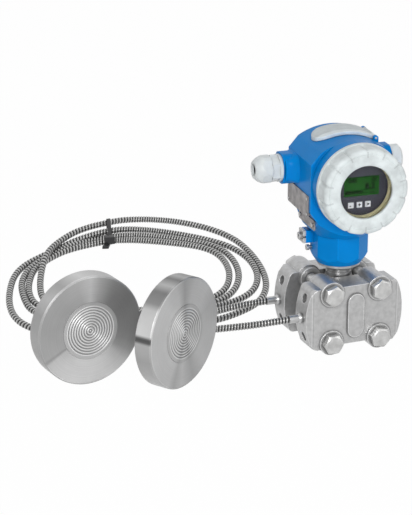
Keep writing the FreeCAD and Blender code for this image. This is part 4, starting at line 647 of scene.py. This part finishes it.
# %% The wave of the ribs
CREST_POWER = 0.9
phase = calc(hose_tree, "ADD", (-400, -200), keep.outputs["Along"],
             keep_ring.outputs["Around"])
wave = calc(hose_tree, "SINE", (-240, -200),
            calc(hose_tree, "MULTIPLY", (-320, -260), phase, math.pi))
crest = calc(hose_tree, "POWER", (-80, -200),
             calc(hose_tree, "ABSOLUTE", (-160, -200), wave), CREST_POWER)
low = calc(hose_tree, "SUBTRACT", (80, -200), 1.0, crest)
inward = calc(hose_tree, "MULTIPLY", (240, -200), low,
              calc(hose_tree, "MULTIPLY", (80, -360), given.outputs["Rib depth"], -1.0))
outward = add(hose_tree, "GeometryNodeInputNormal", (240, -400))
push = add(hose_tree, "ShaderNodeVectorMath", (440, -260), operation="SCALE")
move = add(hose_tree, "GeometryNodeSetPosition", (640, 100))
note = add(hose_tree, "GeometryNodeStoreNamedAttribute", (860, 100), data_type="FLOAT",
           domain="POINT")
note.inputs["Name"].default_value = "groove"
smooth = add(hose_tree, "GeometryNodeSetShadeSmooth", (1060, 100))
real = add(hose_tree, "GeometryNodeRealizeInstances", (1220, 100))
dress = add(hose_tree, "GeometryNodeSetMaterial", (1400, 100))
link(outward.outputs["Normal"], push.inputs[0])
link(inward, push.inputs["Scale"])
link(push.outputs[0], move.inputs["Offset"])
link(low, note.inputs["Value"])
link(given.outputs["Finish"], dress.inputs["Material"])
chain(hose_tree, sweep, move, note, smooth, real, dress, result)
print("the wave moves the points and is stored as groove")

# %% [markdown]
# The strip of the armour gets a painted highlight on its crests and painted shade between
# them. The attribute that the tree stored drives a ramp between the two.

# %% Finish of the hose
hose_steel = finish("hose_steel", screen(190, 190, 190), 0.34, metal=0.75, uneven=0.06,
                    patch=90.0, grain=1500.0, bump=0.1, edge=0.2, corner_shade=0.0)
tree = hose_steel.node_tree
groove = add(tree, "ShaderNodeAttribute", (-760, 520), attribute_name="groove")
# Painted highlight on the crests, painted shade in the grooves.
depth = ramp(tree, (-560, 520), [(0.0, screen(198, 198, 197)), (0.25, screen(132, 132, 131)),
                                 (0.6, screen(50, 50, 50)), (1.0, screen(20, 20, 20))])
tree.links.new(groove.outputs["Fac"], depth.inputs["Fac"])
tree.links.new(depth.outputs["Color"], tree.nodes["Principled BSDF"].inputs["Base Color"])
print("hose finish done")

# %% [markdown]
# ## Pieces made from rings
#
# Covers, discs, bolts and nuts are all rings of points joined one to the next. One function
# joins the rings and closes the ends, and another turns the mesh into a piece that rides on a
# body.

# %% Rings joined together
BOX_SIDES = ((3, 2, 1, 0), (4, 5, 6, 7), (0, 1, 5, 4), (1, 2, 6, 5), (2, 3, 7, 6), (3, 0, 4, 7))


def block(mesh, corners):
    """Eight corners, four below and four above, as a closed box."""
    made = [mesh.verts.new(corner) for corner in corners]
    for side in BOX_SIDES:
        mesh.faces.new([made[i] for i in side])


def circle(count):
    """Cosine and sine of so many even steps round a circle."""
    angles = [math.tau * i / count for i in range(count)]
    return [(math.cos(angle), math.sin(angle)) for angle in angles]


def join_rings(mesh, rings, loop=False):
    """Join rings of as many points each; close both ends, or join the last to the first."""
    made = [[mesh.verts.new(point) for point in ring] for ring in rings]
    pairs = list(zip(made, made[1:]))
    if loop:
        pairs.append((made[-1], made[0]))
    for low, high in pairs:
        for i in range(len(low)):
            j = (i + 1) % len(low)
            mesh.faces.new((low[i], low[j], high[j], high[i]))
    if not loop:
        mesh.faces.new(made[0][::-1])
        mesh.faces.new(made[-1])


print("ring helpers ready")

# %% From mesh to piece
CRISP_FROM = 0.7
BEVEL_FROM = 0.6


def smooth_data(mesh, name, sharp):
    """Mesh data that is shaded smooth, with a crisp edge wherever faces turn by over sharp."""
    data = bpy.data.meshes.new(name)
    mesh.to_mesh(data)
    mesh.free()
    data.set_sharp_from_angle(angle=sharp)
    for face in data.polygons:
        face.use_smooth = True
    return data


def finished(name, mesh, material, body, slot, *solids, bevel=0.0):
    """Close a bmesh into a piece that rides on a body and may stand for CAD solids."""
    bmesh.ops.remove_doubles(mesh, verts=mesh.verts, dist=1e-6)
    bmesh.ops.recalc_face_normals(mesh, faces=mesh.faces)
    if bevel:
        sharp = [e for e in mesh.edges
                 if len(e.link_faces) == 2 and e.calc_face_angle() > BEVEL_FROM]
        bmesh.ops.bevel(mesh, geom=sharp, offset=bevel * MM, segments=3, profile=0.5,
                        affect="EDGES", clamp_overlap=True)
    data = smooth_data(mesh, name, CRISP_FROM)
    data.materials.append(material)
    piece = bpy.data.objects.new(name, data)
    bpy.context.scene.collection.objects.link(piece)
    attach(piece, body)
    if solids:
        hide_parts(*solids)
    return piece


print("faces that turn by over", CRISP_FROM, "radians meet in a crisp edge")

# %% [markdown]
# ## The front cover
#
# The cover is a turned ring with a full round edge, a fine groove on its face and a bevel
# round the window. Fourteen narrow notches in the edge give a grip, and on the face each of
# them goes on as a fine line. The lines are part of the finish, which is the pale enamel again,
# a little brighter than on the rear cover.

# %% The cover's enamel
GRIPS = 14
FACE_FROM = 72.0
LINES_FROM = 35.5
cover_enamel = finish("cover_enamel", screen(236, 244, 245), 0.40, uneven=0.09, patch=80.0,
                      grain=1100.0, bump=0.10, edge=1.4, corner_shade=0.3, edge_highlight=0.25)


def grip_lines(tree):
    """Fine dark lines on the cover's face, one at each grip, that stop before the window."""
    turns, far = polar(tree, in_housing(0, 0, AXIS_HEIGHT), HOUSING_RIGHT)
    share = calc(tree, "FRACT", (-900, 900), calc(tree, "MULTIPLY", (-1000, 900), turns, GRIPS))
    off = calc(tree, "ABSOLUTE", (-700, 900), calc(tree, "SUBTRACT", (-800, 900), share, 0.5))
    line = stretch(tree, (-500, 900), off, (0.02, 0.07), (0.80, 1.0))
    ahead = along(tree, (-1400, 1300), -HOUSING_BACK, in_housing(0, 0, AXIS_HEIGHT))
    on_face = calc(tree, "GREATER_THAN", (-700, 1300), ahead, FACE_FROM * MM)
    outside = calc(tree, "GREATER_THAN", (-500, 1100), far, LINES_FROM * MM)
    there = calc(tree, "MULTIPLY", (-400, 1200), on_face, outside)
    return choose(tree, (-300, 1000), there, 1.0, line)


shade(cover_enamel, grip_lines)
print("cover enamel done")

# %% [markdown]
# The ring itself is one profile carried round the axis. Each row of the profile says how far
# it is in front of the housing's axis, how far from the cover's own axis, and how much of the
# notches it feels, from none on the rim to all of it on the side.

# %% Cover profile and notches
COVER_RADIUS = 44.0
COVER_FACE = 72.8
WINDOW_RADIUS = 27.0
EDGE_ROUND = 4.2
EDGE_STEPS = 9
POINTS_PER_GRIP = 16
NOTCH_DEPTH = 1.7
NOTCH_WIDTH = 0.07


def notch(angle):
    """Depth of the notch at an angle, in mm."""
    share = (angle / math.tau * GRIPS) % 1.0
    return NOTCH_DEPTH * math.exp(-((share - 0.5) / NOTCH_WIDTH) ** 2)


profile = [(50.4, 44.6, 0), (54.2, 44.6, 0), (55.0, 43.9, 0), (55.6, COVER_RADIUS, 1),
           (62.0, COVER_RADIUS, 1)]
for step in range(EDGE_STEPS + 1):
    angle = math.pi / 2 * step / EDGE_STEPS
    profile.append((COVER_FACE - EDGE_ROUND + EDGE_ROUND * math.sin(angle),
                    COVER_RADIUS - EDGE_ROUND + EDGE_ROUND * math.cos(angle), math.cos(angle)))
profile += [(COVER_FACE, 38.9, 0), (72.35, 38.5, 0), (COVER_FACE, 38.1, 0), (COVER_FACE, 28.4, 0),
            (72.45, 27.5, 0), (71.7, WINDOW_RADIUS, 0), (69.7, WINDOW_RADIUS, 0),
            (69.7, 40.0, 0), (50.4, 40.0, 0)]
shape = bmesh.new()
rings = []
for forward, far, feel in profile:
    ring = []
    for i in range(GRIPS * POINTS_PER_GRIP):
        angle = math.tau * i / (GRIPS * POINTS_PER_GRIP)
        reach = far - feel * notch(angle)
        ring.append(in_housing(reach * math.cos(angle), -forward,
                               AXIS_HEIGHT + reach * math.sin(angle)))
    rings.append(ring)
join_rings(shape, rings, loop=True)
cover = finished("window_cover", shape, cover_enamel, "front_cover", "white_paint",
                 "front_cover")
print("cover:", len(cover.data.polygons), "faces")

# %% [markdown]
# ## Roots of the cable entries
#
# Each cable entry grows out of the housing in a hollow curve, as castings do. It is a stack of
# rounded rectangles that widen towards the housing, more at the front and the top than below.

# %% Entry roots
ENTRY_BEHIND = 21.0
ENTRY_HEIGHT = AXIS_HEIGHT + 3.0
ROOT_START = 43.0
ROOT_LENGTH = 13.0
ROOT_STEPS = 12
ROOT_SIDES = 48
HALF_DEPTH = 15.6
HALF_HEIGHT = 13.0
FLARE_FRONT = 7.5
FLARE_TOP = 4.4
FLARE_FOOT = 2.4
FLARE_POWER = 2.2
CORNER_POWER = 0.55


def entry_root(name, way):
    """The flared root of one entry; way is -1 for the left one and 1 for the right one."""
    rings = []
    for step in range(ROOT_STEPS + 1):
        share = step / ROOT_STEPS
        flare = (1 - share) ** FLARE_POWER
        ring = []
        for c, s in circle(ROOT_SIDES):
            depth = HALF_DEPTH + (FLARE_FRONT * flare if c < 0 else 0.0)
            height = HALF_HEIGHT + (FLARE_TOP if s > 0 else FLARE_FOOT) * flare
            y = depth * math.copysign(abs(c) ** CORNER_POWER, c)
            z = height * math.copysign(abs(s) ** CORNER_POWER, s)
            ring.append(in_housing(way * (ROOT_START + ROOT_LENGTH * share), ENTRY_BEHIND + y,
                                   ENTRY_HEIGHT + z))
        rings.append(ring)
    shape = bmesh.new()
    join_rings(shape, rings)
    return finished(name, shape, blue_enamel, "housing", "blue_paint")


for name, way in (("entry_root_left", -1), ("entry_root_right", 1)):
    print(name, len(entry_root(name, way).data.polygons), "faces")

# %% [markdown]
# ## The diaphragm seals
#
# A seal is faced on a lathe, so its surface is covered in fine circles that mirror the light in
# sectors, like a record. Those sectors are painted reflection in the colour. The finish works in
# polar form round each seal's own axis: the angle drives the painted sectors and the distance
# from the axis tells face from rim. The thin membrane in the middle is pressed into round waves,
# so it gets a shape and a finish of its own, with painted light and shade on each wave. The two
# seals stand at different angles to the lamps, and each has its own row of painted bright sectors.

# %% What the two seals look like
# face, rim and membrane list painted reflection: a screen grey for each share of a turn round the
# axis.
SEALS = {
    "left": {
        "centre": at(-276, -21, 56), "turn": math.radians(8.5),
        "face": [(0.0, 156), (0.08, 148), (0.14, 152), (0.165, 162), (0.21, 188), (0.245, 216),
                 (0.29, 186), (0.36, 168), (0.45, 168), (0.565, 176), (0.575, 156), (0.585, 196),
                 (0.67, 218), (0.80, 214), (0.87, 206), (0.905, 176), (0.94, 164), (1.0, 156)],
        "rim": [(0.0, 150), (0.2, 190), (0.27, 214), (0.33, 176), (0.38, 196), (0.43, 172),
                (0.5, 178), (0.56, 168), (0.62, 186), (1.0, 150)],
        "membrane": [(0.0, 210), (1.0, 210)]},
    "right": {
        "centre": at(-193.5, -62, 56), "turn": math.radians(33.0),
        "face": [(0.0, 184), (0.06, 178), (0.12, 192), (0.2, 186), (0.25, 158), (0.29, 188),
                 (0.36, 200), (0.56, 192), (0.66, 190), (0.69, 170), (0.73, 190), (0.79, 164),
                 (0.85, 182), (1.0, 184)],
        "rim": [(0.0, 160), (0.2, 124), (0.24, 176), (0.265, 118), (0.30, 184), (0.33, 124),
                (0.37, 150), (0.39, 206), (0.462, 222), (0.470, 84), (0.480, 90), (0.488, 186),
                (0.54, 168), (0.65, 196), (0.75, 160), (1.0, 160)]},
}
SEALS["right"]["membrane"] = SEALS["right"]["face"]
for seal in SEALS.values():
    seal["across"] = Vector((math.cos(seal["turn"]), math.sin(seal["turn"]), 0.0))
    seal["normal"] = Vector((math.sin(seal["turn"]), -math.cos(seal["turn"]), 0.0))
print("seals face", [[round(v, 2) for v in seal["normal"]] for seal in SEALS.values()])

# %% Turned faces
SEAL_RADIUS = 56.0 * MM
RIM_SHARE = 0.985


def turned_face(side, seal):
    """Steel of a seal's face and rim, with painted reflection in sectors and fine circles."""
    material = finish("turned_face_" + side, screen(196, 196, 196), 0.42, metal=0.45,
                      uneven=0.03, patch=40.0, grain=1800.0, bump=0.1, edge=0.7, corner_shade=0.3,
                      edge_highlight=0.6)

    def reflection_sectors(tree):
        turns, far = polar(tree, seal["centre"], seal["across"])
        on_rim = calc(tree, "GREATER_THAN", (-200, 900), far, SEAL_RADIUS * RIM_SHARE)
        # Painted reflection, picked by the angle round the seal's axis.
        light = choose(tree, (0, 800), on_rim, grey_ramp(tree, turns, seal["face"]),
                       grey_ramp(tree, turns, seal["rim"]))
        lines = add(tree, "ShaderNodeTexNoise", (-400, 1100), noise_dimensions="1D",
                    Scale=900.0, Detail=2.0)
        tree.links.new(far, lines.inputs["W"])
        scratch = stretch(tree, (-200, 1100), lines.outputs["Fac"], (0.3, 0.7), (0.96, 1.03))
        return calc(tree, "MULTIPLY", (200, 900), light, scratch)

    shade(material, reflection_sectors)
    return material


for side, seal in SEALS.items():
    wear(turned_face(side, seal), "seal_disc_" + side)
print("turned faces done")

# %% Steel of a membrane, with painted light and shade on its waves
WAVE_PITCH = 2.8
WAVES_END = 25.9
WAVE_LIGHT = [(0.0, 236), (0.16, 222), (0.4, 158), (0.55, 138), (0.7, 158), (0.88, 222),
              (1.0, 236)]
FLAT_LIGHT = 0.86


def membrane_steel(side, seal):
    """Steel with a painted highlight on each wave's crest, painted shade in its trough and even
    outside them.
    """
    material = finish("membrane_steel_" + side, screen(196, 196, 196), 0.40, metal=0.4,
                      uneven=0.03, patch=40.0, grain=1800.0, bump=0.05, edge=0.1, corner_shade=0.0)

    def waves(tree):
        turns, far = polar(tree, seal["centre"], seal["across"])
        wave = calc(tree, "FRACT", (-900, 1200),
                    calc(tree, "DIVIDE", (-1000, 1200), far, WAVE_PITCH * MM))
        in_waves = calc(tree, "LESS_THAN", (-900, 1000), far, WAVES_END * MM)
        # Painted highlight on crests and painted shade in troughs, times the seal's painted
        # reflection by angle.
        light = choose(tree, (-300, 1000), in_waves, FLAT_LIGHT,
                       grey_ramp(tree, wave, WAVE_LIGHT))
        return calc(tree, "MULTIPLY", (0, 1000), light, grey_ramp(tree, turns, seal["membrane"]))

    shade(material, waves)
    return material


print("waves end", WAVES_END, "mm from a seal's axis")

# %% Membranes
MEMBRANE_RADIUS = 29.4
MEMBRANE_RINGS = 140
MEMBRANE_SIDES = 96
WAVE_HEIGHT = 0.30
MEMBRANE_LIFT = 0.35
MEMBRANE_EDGE = 29.2
MEMBRANE_EDGE_DROP = 0.5
MEMBRANE_THICKNESS = 0.6


def membrane(side, seal):
    """A thin round sheet with waves that faces out of its seal."""
    rings = []
    for step in range(1, MEMBRANE_RINGS + 1):
        far = MEMBRANE_RADIUS * step / MEMBRANE_RINGS
        wave = WAVE_HEIGHT * math.cos(math.tau * far / WAVE_PITCH) if far < WAVES_END else 0.0
        rise = wave + MEMBRANE_LIFT - MEMBRANE_EDGE_DROP * (far > MEMBRANE_EDGE)
        rings.append([seal["centre"] + (seal["normal"] * rise + seal["across"] * far * c
                                        + UP * far * s) * MM
                      for c, s in circle(MEMBRANE_SIDES)])
    rings.append([point - seal["normal"] * MEMBRANE_THICKNESS * MM for point in rings[-1]])
    shape = bmesh.new()
    join_rings(shape, rings)
    return finished("membrane_" + side, shape, membrane_steel(side, seal), "measuring_end",
                    "diaphragm_steel", "diaphragm_" + side)


for side, seal in SEALS.items():
    print(side, "membrane:", len(membrane(side, seal).data.polygons), "faces")

# %% [markdown]
# ## Bolts and nuts
#
# The four flange bolts are one hexagon bolt placed four times, each turned as the wrench left
# it. The corners of a forged head are cut by a cone, and that cone is what catches the light:
# beyond a small flat circle, the top drops by a fixed slope.

# %% Hexagons and round bars along Y
ACROSS_FLATS = 19.0
FLAT_CIRCLE = 8.3
CIRCLE_EDGE = 0.6
CONE_SLOPE = 0.58
FLANGE_FACE = 43.2
HEAD_HEIGHT = 7.5
NUT_HEIGHT = 10.0
HEXAGON_POINTS = 72
BAR_POINTS = 32


def hexagon(mesh, foot, top, both=False):
    """A hexagon from y = -foot to y = -top, its top (or both ends) cut by a cone."""
    def ring(height, cut=0, radius=math.inf):
        """The hexagon's outline within a radius; cut is -1 at a foot and 1 at a top."""
        points = []
        for i in range(HEXAGON_POINTS):
            angle = math.tau * i / HEXAGON_POINTS
            reach = ACROSS_FLATS / 2 / math.cos((angle % (math.pi / 3)) - math.pi / 6)
            far = min(radius, reach)
            fall = max(0.0, far - FLAT_CIRCLE) * CONE_SLOPE
            points.append(Vector((far * math.cos(angle), -(height - fall * cut),
                                  far * math.sin(angle))) * MM)
        return points
    start = [ring(foot, 0, FLAT_CIRCLE), ring(foot, -1)] if both else [ring(foot)]
    join_rings(mesh, start + [ring(top, 1), ring(top, 1, FLAT_CIRCLE + CIRCLE_EDGE),
                              ring(top, 0, FLAT_CIRCLE)])


def round_bar(mesh, outline):
    """A round bar along Y through (radius, y) rings."""
    join_rings(mesh, [[Vector((radius * c, y, radius * s)) * MM for c, s in circle(BAR_POINTS)]
                      for radius, y in outline])


print("a head is", ACROSS_FLATS, "mm across flats")

# %% One bolt and one nut
SHANK_RADIUS = 6.0
SHANK_START = -43.3
SHANK_END = 44.0
THREAD_RADIUS = 5.9
THREAD_START = 52.0
THREAD_END = 56.2
CHAMFER = 0.8
FASTENER_CRISP_FROM = 0.35


def build_bolt(mesh):
    """A head on the front flange and a shank whose dished end lies inside the nut."""
    hexagon(mesh, FLANGE_FACE, FLANGE_FACE + HEAD_HEIGHT)
    round_bar(mesh, [(SHANK_RADIUS, SHANK_START), (SHANK_RADIUS, SHANK_END + CHAMFER),
                     (SHANK_RADIUS - CHAMFER, SHANK_END)])


def build_nut(mesh):
    """A nut on the rear flange, and the chamfered end of the bolt that comes through it."""
    hexagon(mesh, -FLANGE_FACE - NUT_HEIGHT, -FLANGE_FACE, both=True)
    round_bar(mesh, [(THREAD_RADIUS, THREAD_START), (THREAD_RADIUS, THREAD_END - CHAMFER),
                     (THREAD_RADIUS - CHAMFER, THREAD_END)])


def part_of(name, build):
    """A loose object to be placed, filled by build(mesh)."""
    mesh = bmesh.new()
    build(mesh)
    bmesh.ops.recalc_face_normals(mesh, faces=mesh.faces)
    return bpy.data.objects.new(name, smooth_data(mesh, name, FASTENER_CRISP_FROM))


print("bolt and nut are ready to be placed")

# %% Place them with a geometry tree
place_tree, given, result = new_tree("fasteners on places", [
    ("Fastener", "NodeSocketObject", None), ("Finish", "NodeSocketMaterial", None)])
link = place_tree.links.new
piece = add(place_tree, "GeometryNodeObjectInfo", (-1000, -200))
turned = add(place_tree, "GeometryNodeInputNamedAttribute", (-1000, -460), data_type="FLOAT")
turned.inputs["Name"].default_value = "turn"
about_y = add(place_tree, "ShaderNodeCombineXYZ", (-800, -460))
copies = add(place_tree, "GeometryNodeInstanceOnPoints", (-400, 0))
real = add(place_tree, "GeometryNodeRealizeInstances", (0, 0))
dress = add(place_tree, "GeometryNodeSetMaterial", (400, 0))
link(given.outputs["Fastener"], piece.inputs["Object"])
link(turned.outputs["Attribute"], about_y.inputs["Y"])
link(given.outputs["Geometry"], copies.inputs["Points"])
link(piece.outputs["Geometry"], copies.inputs["Instance"])
link(about_y.outputs["Vector"], copies.inputs["Rotation"])
link(given.outputs["Finish"], dress.inputs["Material"])
chain(place_tree, copies, real, dress, result)
print("fasteners stand on points and turn about Y")

# %% Four bolts and four nuts
BOLT_PLACES = [at(x, 0, FLANGE_HEIGHT + z) for z in (-BOLT_UP, BOLT_UP)
               for x in (-BOLT_ACROSS, BOLT_ACROSS)]
FASTENERS = [("flange_bolt_set", build_bolt, (0, 12, 41, 24), "flange_bolts"),
             ("flange_nut_set", build_nut, (18, 5, 33, 50), "flange_nuts")]
for name, build, turns, solids in FASTENERS:
    places = bpy.data.meshes.new(name + "_places")
    places.from_pydata(BOLT_PLACES, [], [])
    turn = places.attributes.new("turn", "FLOAT", "POINT")
    turn.data.foreach_set("value", [math.radians(angle) for angle in turns])
    part = part_of(name + "_one", build)
    made = run_tree(name, place_tree, {"Fastener": part, "Finish": bolt_steel}, start=places)
    bpy.data.objects.remove(part)
    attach(made, "measuring_end")
    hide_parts(solids)
    print(name, len(made.data.polygons), "faces")

# %% [markdown]
# ## The display
#
# The screen shows a made-up reading. Text is a curve in Blender, so each word is turned into
# a mesh and laid just in front of the screen, in the ruler that turns with the housing.

# %% Words and signs as mesh
INK = 0.12
BOLDNESS = 0.035


def letters(mesh, text, size, x, z, face):
    """Text whose lower left corner is at x, z, on the plane y = face of the housing."""
    curve = bpy.data.curves.new("words", "FONT")
    curve.body = text
    curve.size = size
    curve.offset = size * BOLDNESS
    curve.extrude = INK / 2
    holder = bpy.data.objects.new("words", curve)
    bpy.context.scene.collection.objects.link(holder)
    bpy.context.view_layer.update()
    flat = bpy.data.meshes.new_from_object(
        holder.evaluated_get(bpy.context.evaluated_depsgraph_get()))
    bpy.data.objects.remove(holder)
    start = len(mesh.verts)
    mesh.from_mesh(flat)
    mesh.verts.ensure_lookup_table()
    for vertex in mesh.verts[start:]:
        u, v, w = vertex.co
        vertex.co = in_housing(x + u, face - w, z + v)


def bar(mesh, left, right, foot, top, face):
    """A flat box on the plane y = face of the housing."""
    block(mesh, [in_housing(x, y, z) for z in (foot, top)
                 for x, y in ((left, face - INK), (right, face - INK), (right, face + INK),
                              (left, face + INK))])


print("letters are", INK, "mm thick")

# %% The screen and its keys
SCREEN_FACE = -57.68
KEY_FACE = -58.96
KEY_PITCH = 8.9
FIRST_SIGN = -12.7
SIGN_FOOT = 161.3
SIGN_SIZE = 5.4
# Each word has its size, left edge and foot, each bar its left, right, foot and top.
WORDS = [("12:45", 5.4, -17.2, 186.0), ("01", 5.4, 10.6, 186.0), ("8.2", 8.6, 3.6, 178.6),
         ("24.6", 4.2, 8.6, 173.6)]
BARS = [(-17.2, 6.8, 174.4, 174.9), (-17.2, 6.8, 177.4, 177.9), (-17.2, 1.5, 175.4, 176.9),
        (-17.6, 17.6, 190.9, 191.25)]
SIGNS = (("left", "-"), ("middle", "+"), ("right", ">"))
ink = finish("screen_ink", screen(2, 10, 4), 0.7, uneven=0.02, bump=0.02, specular=0.1,
             corner_shade=0.0)
shape = bmesh.new()
for word in WORDS:
    letters(shape, *word, SCREEN_FACE)
for sides in BARS:
    bar(shape, *sides, SCREEN_FACE)
finished("screen_words", shape, ink, "housing", "dark_plastic")
for i, (key, sign) in enumerate(SIGNS):
    shape = bmesh.new()
    letters(shape, sign, SIGN_SIZE, FIRST_SIGN + KEY_PITCH * i, SIGN_FOOT, KEY_FACE)
    finished("key_sign_" + key, shape, ink, "display_key_" + key, "dark_plastic")
print("screen and signs done")

# %% [markdown]
# ## The cable tie
#
# A tie is a thin strap pulled round the bundle, so its line is the tight outline of the four
# round hoses. The script lays circles where the hoses cross the tie, takes the outline round
# all of them and gives it a width and a wall. The lock is a small block with the cut tail.

# %% Outline round the bundle
BUNDLE = [(388, 15.5), (373, 11), (371, 4), (358, 4)]
BUNDLE_MIDDLE = 372
STRAP_INSIDE = 3.8
STRAP_OUTSIDE = 5.0
OUTLINE_STEPS = 20


def left_turn(a, b, c):
    """More than 0 where the way from a over b to c turns left."""
    return (b[0] - a[0]) * (c[1] - a[1]) - (b[1] - a[1]) * (c[0] - a[0])


def outline_round(circles, radius):
    """The tight outline round circles of one radius, as a list of points."""
    dots = sorted({(round(y + radius * c, 4), round(z + radius * s, 4))
                   for y, z in circles for c, s in circle(OUTLINE_STEPS)})

    def half(items):
        """The corners on one side, from the first item to the one before the last corner."""
        corners = []
        for dot in items:
            while len(corners) > 1 and left_turn(corners[-2], corners[-1], dot) <= 0:
                corners.pop()
            corners.append(dot)
        return corners[:-1]
    return half(dots) + half(dots[::-1])


print(len(outline_round(BUNDLE, STRAP_INSIDE)), "points round the bundle")

# %% Strap, lock and tail
TIE_X = -119
TIE_LEAN = 0.28
STRAP_HALF_WIDTH = 2.4
STRAP_LIFT = 0.15


def strap_ring(radius, shift):
    """The outline at one edge of the strap, which leans and rests just above the floor."""
    return [at(TIE_X + shift + (y - BUNDLE_MIDDLE) * TIE_LEAN, y, max(z, STRAP_LIFT))
            for y, z in outline_round(BUNDLE, radius)]


shape = bmesh.new()
join_rings(shape, [strap_ring(STRAP_INSIDE, -STRAP_HALF_WIDTH),
                   strap_ring(STRAP_OUTSIDE, -STRAP_HALF_WIDTH),
                   strap_ring(STRAP_OUTSIDE, STRAP_HALF_WIDTH),
                   strap_ring(STRAP_INSIDE, STRAP_HALF_WIDTH)], loop=True)
block(shape, [at(TIE_X + x, y, z) for z in (3.5, 12.0)
              for x, y in ((-13, 348), (-2, 346.5), (-1, 354.5), (-12, 356))])
block(shape, [at(TIE_X + x, y, z) for z in (0.6, 3.6)
              for x, y in ((-19, 343), (-12, 341), (-6, 352), (-12, 354))])
tie = finished("capillary_tie", shape, black_plastic, "measuring_end", "black_plastic",
               "cable_tie", bevel=0.3)
print("tie has", len(tie.data.polygons), "faces")


def make_hose(name, points, solids):
    """A ribbed hose along the points, which stands for the solids of one capillary."""
    guide = hose_line(name + "_line", points)
    bpy.context.scene.collection.objects.link(guide)
    bpy.context.view_layer.update()
    line_mesh = bpy.data.meshes.new_from_object(
        guide.evaluated_get(bpy.context.evaluated_depsgraph_get()))
    hose = run_tree(name, hose_tree, {"Line": guide, "Finish": hose_steel})
    bpy.data.objects.remove(guide)
    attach(hose, "measuring_end")
    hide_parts(*solids)


make_hose("front_capillary", front_route,
          ["capillary_lead_front", "capillary_tail_left", "capillary_coil"])
make_hose("rear_capillary", rear_route,
          ["capillary_lead_rear", "capillary_tail_right"])

# %% [markdown]
# ## Stage and light
#
# A catalogue shows such an instrument on white. The world is white for the camera and for
# reflections, and dimmer where it lights the part, so that pale enamel keeps its shape. The
# floor glows just enough to reach white and still keeps a faint shadow.

# %% World
ROOM_LIGHT = 0.24
SEEN_LIGHT = 0.79
world = bpy.data.worlds.new("studio")
bpy.context.scene.world = world
world.use_nodes = True
tree = world.node_tree
backdrop = tree.nodes["Background"]
backdrop.inputs["Color"].default_value = (1.0, 1.0, 1.0, 1.0)


def seen_directly(tree, share, rest):
    """A number that is share + rest for camera, mirror and glass rays, and rest otherwise."""
    rays = add(tree, "ShaderNodeLightPath", (-1000, 0))
    seen = rays.outputs["Is Camera Ray"]
    for other in ("Is Glossy Ray", "Is Transmission Ray"):
        seen = calc(tree, "MAXIMUM", (-700, 0), seen, rays.outputs[other])
    return calc(tree, "MULTIPLY_ADD", (-300, 0), seen, share, rest)


tree.links.new(seen_directly(tree, SEEN_LIGHT, ROOM_LIGHT), backdrop.inputs["Strength"])
print("white world")

# %% Floor
FLOOR_GLOW = 0.985
floor_mesh = bpy.data.meshes.new("floor")
floor_mesh.from_pydata([(-4, -3, 0), (4, -3, 0), (4, 6, 0), (-4, 6, 0)], [], [(0, 1, 2, 3)])
floor = bpy.data.objects.new("floor", floor_mesh)
bpy.context.scene.collection.objects.link(floor)
paper = bpy.data.materials.new("paper")
paper.use_nodes = True
tree = paper.node_tree
matt = tree.nodes["Principled BSDF"]
matt.inputs["Base Color"].default_value = (0.9, 0.9, 0.9, 1.0)
matt.inputs["Roughness"].default_value = 0.9
glow = add(tree, "ShaderNodeEmission", (0, -300), Strength=1.0)
blend = add(tree, "ShaderNodeMixShader", (200, 0))
tree.links.new(seen_directly(tree, FLOOR_GLOW, 0.0), blend.inputs["Fac"])
tree.links.new(matt.outputs[0], blend.inputs[1])
tree.links.new(glow.outputs[0], blend.inputs[2])
tree.links.new(blend.outputs[0], tree.nodes["Material Output"].inputs["Surface"])
floor_mesh.materials.append(paper)
print("white floor")

# %% Lamps
LIT_POINT = at(-100, 0, 90)


def lamp(name, place, size, power):
    """A round lamp that shines on the middle of the instrument."""
    data = bpy.data.lights.new(name, "AREA")
    data.shape = "DISK"
    data.size = size
    data.energy = power
    item = bpy.data.objects.new(name, data)
    bpy.context.scene.collection.objects.link(item)
    item.location = place
    item.rotation_euler = (item.location - LIT_POINT).to_track_quat("Z", "Y").to_euler()
    print(name, "at", place)


bpy.context.scene.view_settings.view_transform = "Standard"
lamp("key_lamp", (-0.8, -1.7, 1.0), 0.8, 21.0)
lamp("fill_lamp", (1.4, -1.3, 0.5), 1.0, 4.0)
lamp("top_lamp", (0.1, 0.5, 1.8), 1.0, 3.5)
